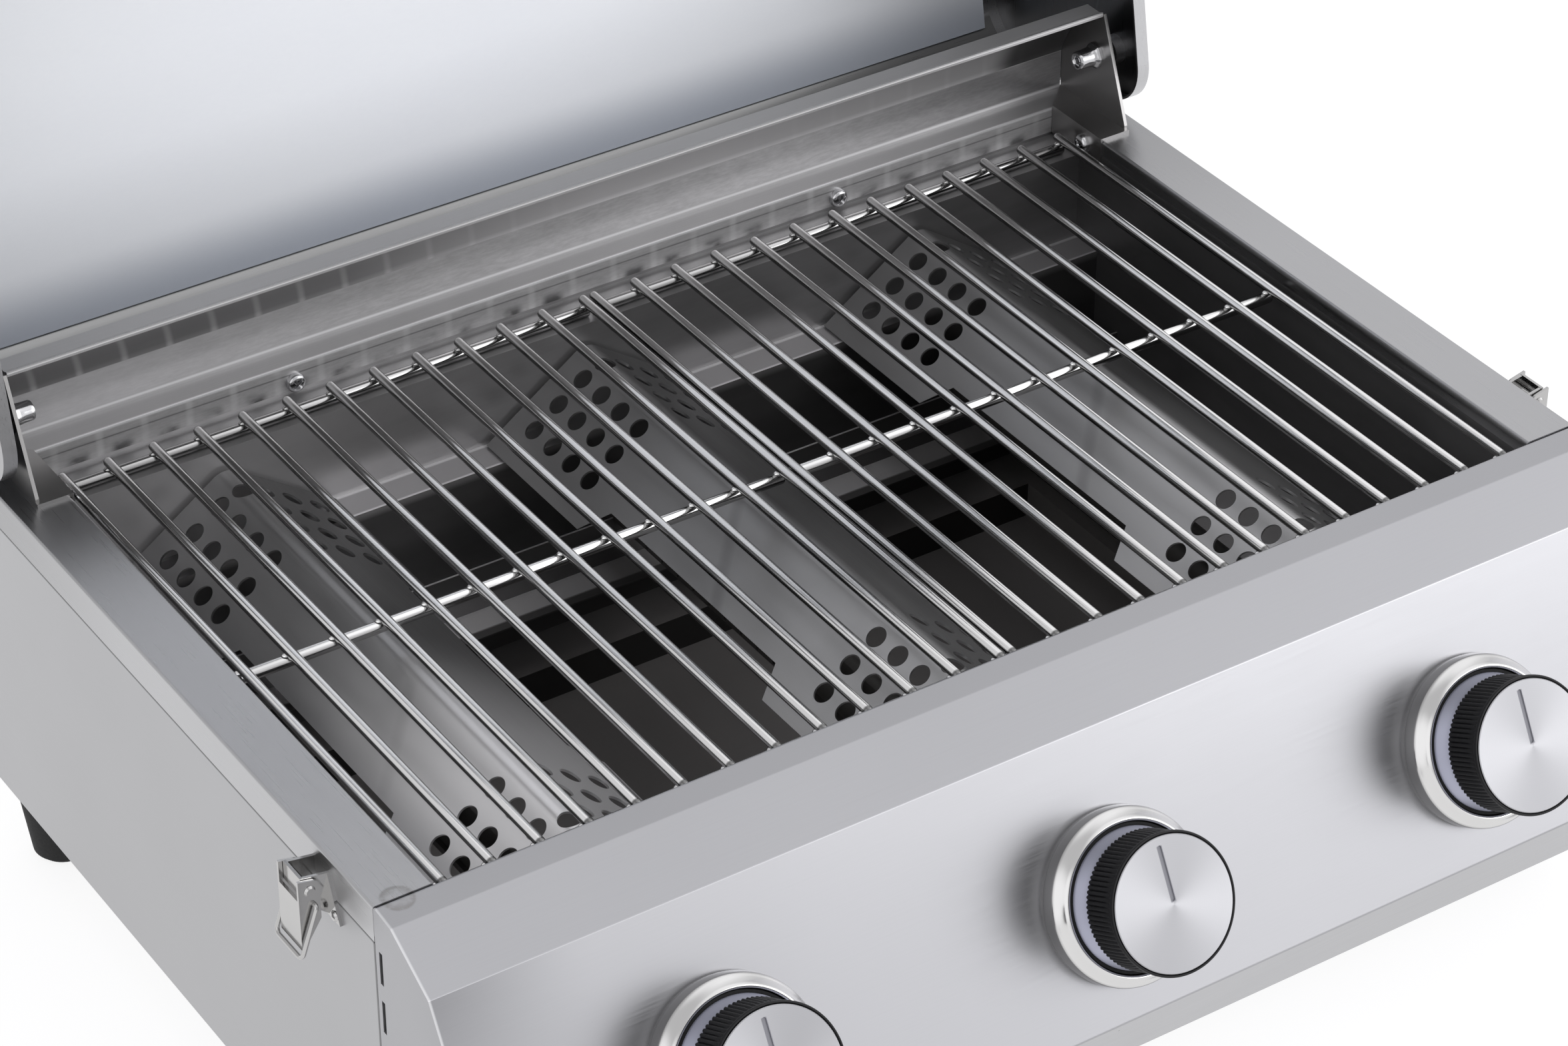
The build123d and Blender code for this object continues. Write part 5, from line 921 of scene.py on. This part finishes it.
def make_screws(finish):
    """Pan-head screws with a crossed recess. Head: h = H (1 - (r/R)^5)^0.4; the recess takes away depth
    where the point lies inside either arm of the cross, with sloping sides."""
    radius, height, foot_depth = 4.3, 3.1, 0.9
    arm, reach, depth = 0.50, 2.1, 1.5
    tilt = np.radians(38)
    r = np.concatenate([np.linspace(0, 2.8, 30), np.linspace(2.9, radius, 12)])
    a = np.linspace(0, 2 * np.pi, 72, endpoint=False)
    r, a = np.meshgrid(r, a, indexing="ij")
    x, y = r * np.cos(a), r * np.sin(a)
    h = height * np.clip(1 - (r / radius) ** 5, 0, 1) ** 0.4
    first = np.maximum(np.abs(x) / arm, np.abs(y) / reach)
    second = np.maximum(np.abs(y) / arm, np.abs(x) / reach)
    h = h - depth * np.clip((1.25 - np.minimum(first, second)) / 0.4, 0, 1)
    below = np.full_like(x[-1], -foot_depth)
    foot = np.stack([x[-1], y[-1], below], -1)
    pole = np.stack([0 * x[-1], 0 * x[-1], below], -1)
    head = np.concatenate([np.stack([x, y, h], -1), foot[None], pole[None]]) * MM
    places = [
        ("wall_left", (-0.1322, SKIRT_Y, 0.1858), ACROSS, -BACKWARD),
        ("wall_right", (0.1338, SKIRT_Y, 0.1858), ACROSS, -BACKWARD),
        ("bracket_left", (-0.2485, 0.1136834, 0.188), BACKWARD, ACROSS),
        ("bracket_right", (0.2485, 0.1136834, 0.188), -BACKWARD, -ACROSS),
    ]
    for name, centre, across, out in places:
        side = np.cos(tilt) * across + np.sin(tilt) * UP
        rise = np.cos(tilt) * UP - np.sin(tilt) * across
        points = centre + head[..., :1] * side + head[..., 1:2] * rise + head[..., 2:] * out
        piece = surface("screw_" + name, points, finish)
        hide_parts("panel_screws")
        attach(piece, "body")


def make_grates(finish):
    """Grates: straight rods with domed ends lie across three bars, with a low bead of weld at each
    crossing. Rods and bars are profiles r(s) turned about their length, with the far end mirrored; a bead
    is the ellipsoid p = c + (A cos u cos v, B cos u sin v, C sin u)."""
    rod_length, bar_length = 302.0, 242.1
    bar_before_rod, bead_above_bar = 0.00105, 0.0025
    bead_size = (3.2, 1.9, 1.5)
    mirror = (1, -1)
    rod_end = np.array([(0.0, 0.0), (0.9, 0.08), (1.45, 0.35), (1.85, 0.85), (2.05, 1.5), (2.1, 2.2)])
    rod = np.concatenate([rod_end, [(2.1, 150.0)], (0.0, rod_length) + rod_end[::-1] * mirror])
    bar_end = np.array([(0.0, 0.0), (1.6, 0.0), (2.2, 0.2), (2.5, 0.7)])
    bar = np.concatenate([bar_end, [(2.5, 120.0)], (0.0, bar_length) + bar_end[::-1] * mirror])
    bead = [(np.cos(u), np.sin(u)) for u in np.linspace(-np.pi / 2, np.pi / 2, 11)]
    one_rod = turned(rod, 32, np.zeros(3), ACROSS, UP, -BACKWARD)
    one_bar = turned(bar, 32, np.zeros(3), -BACKWARD, UP, ACROSS)
    one_bead = turned(bead, 20, np.zeros(3), ACROSS, -BACKWARD, UP) * bead_size
    for side, first in FIRST_ROD_X:
        x, y = first + np.arange(RODS) * ROD_PITCH, np.array(CROSSBAR_Y)
        bead_x, bead_y = np.meshgrid(x, y)
        rods = np.stack([x, np.full_like(x, ROD_REAR_Y), np.full_like(x, ROD_Z)], -1)
        bars = np.stack([np.full_like(y, first - bar_before_rod), y, np.full_like(y, CROSSBAR_Z)], -1)
        bead_z = np.full_like(bead_x, CROSSBAR_Z + bead_above_bar)
        beads = np.stack([bead_x, bead_y, bead_z], -1).reshape(-1, 3)
        for name, shape, places in (("rods_", one_rod, rods), ("crossbars_", one_bar, bars),
                                    ("weld_beads_", one_bead, beads)):
            piece = surface(name + side, shape + places[:, None, None, :], finish)
            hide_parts("grate_" + side)
            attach(piece, "grate_" + side)


def make_hinge_hardware(finish):
    """Lid bolts with low domed heads outside, and inside a flanged nut whose sleeve tapers from six soft
    flats to a rolled end: r = r0(h) (1 - k(h) (1 - cos 6a) / 2), with a six-sided socket in the end."""
    shank, cap = PLATE_X - 4.1, PLATE_X + 12.8
    bolt = [
        (0.0, shank), (3.0, shank), (3.0, cap), (6.5, cap), (6.5, cap + 0.9), (6.3, cap + 1.7),
        (5.6, cap + 2.5), (4.4, cap + 2.95), (2.4, cap + 3.1), (2.2, cap + 2.9), (2.15, cap + 1.6),
        (0.0, cap + 1.4),
    ]
    nut = [
        (0.0, 4.1), (3.02, 4.1), (3.02, 0.0), (5.8, 0.0), (5.9, 0.5), (5.8, 1.5), (5.3, 2.2), (4.9, 2.6),
        (4.6, 3.3), (4.35, 4.6), (4.2, 6.5), (4.15, 9.0), (4.1, 10.0), (3.8, 10.5), (3.3, 10.65),
        (2.9, 10.5), (2.6, 10.1), (2.3, 9.4), (2.2, 7.8), (0.0, 7.4),
    ]

    def six_sided(r, h, a):
        sleeve = (r > 0.0045) & (h < 0.0034)
        socket = (r < 0.0025) & (h > 0.0070)
        flats = np.where(sleeve, 0.075, 0.0) + np.where(socket, 0.10, 0.0)
        return r * (1 - flats * (1 - np.cos(6 * a)) / 2)

    centre = np.array([0.0, HINGE_Y, HINGE_Z])
    for side, sign in (("left", -1.0), ("right", 1.0)):
        out = sign * ACROSS
        piece = surface("lid_bolt_" + side, turned(bolt, 60, centre, BACKWARD, UP, out), finish)
        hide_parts("hinge_bolts")
        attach(piece, "body")
        start = centre + out * (PLATE_X * MM)
        piece = surface("lid_nut_" + side, turned(nut, 96, start, BACKWARD, UP, -out, six_sided), finish)
        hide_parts("hinge_bolts")
        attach(piece, "body")


make_camera()
make_floor()
make_studio()
make_lamp("key", (1.5, -1.9, 1.2), (0.0, -0.1, 0.1), (1.2, 0.9), 8)
set_look()
finishes = make_finishes()
dress_nodes(finishes)
make_knobs(finishes["knob"])
make_bezels(finishes["bezel"])
make_collars(finishes["ring"], finishes["rubber"])
make_screws(finishes["hardware"])
make_grates(finishes["rod"])
make_hinge_hardware(finishes["hardware"])
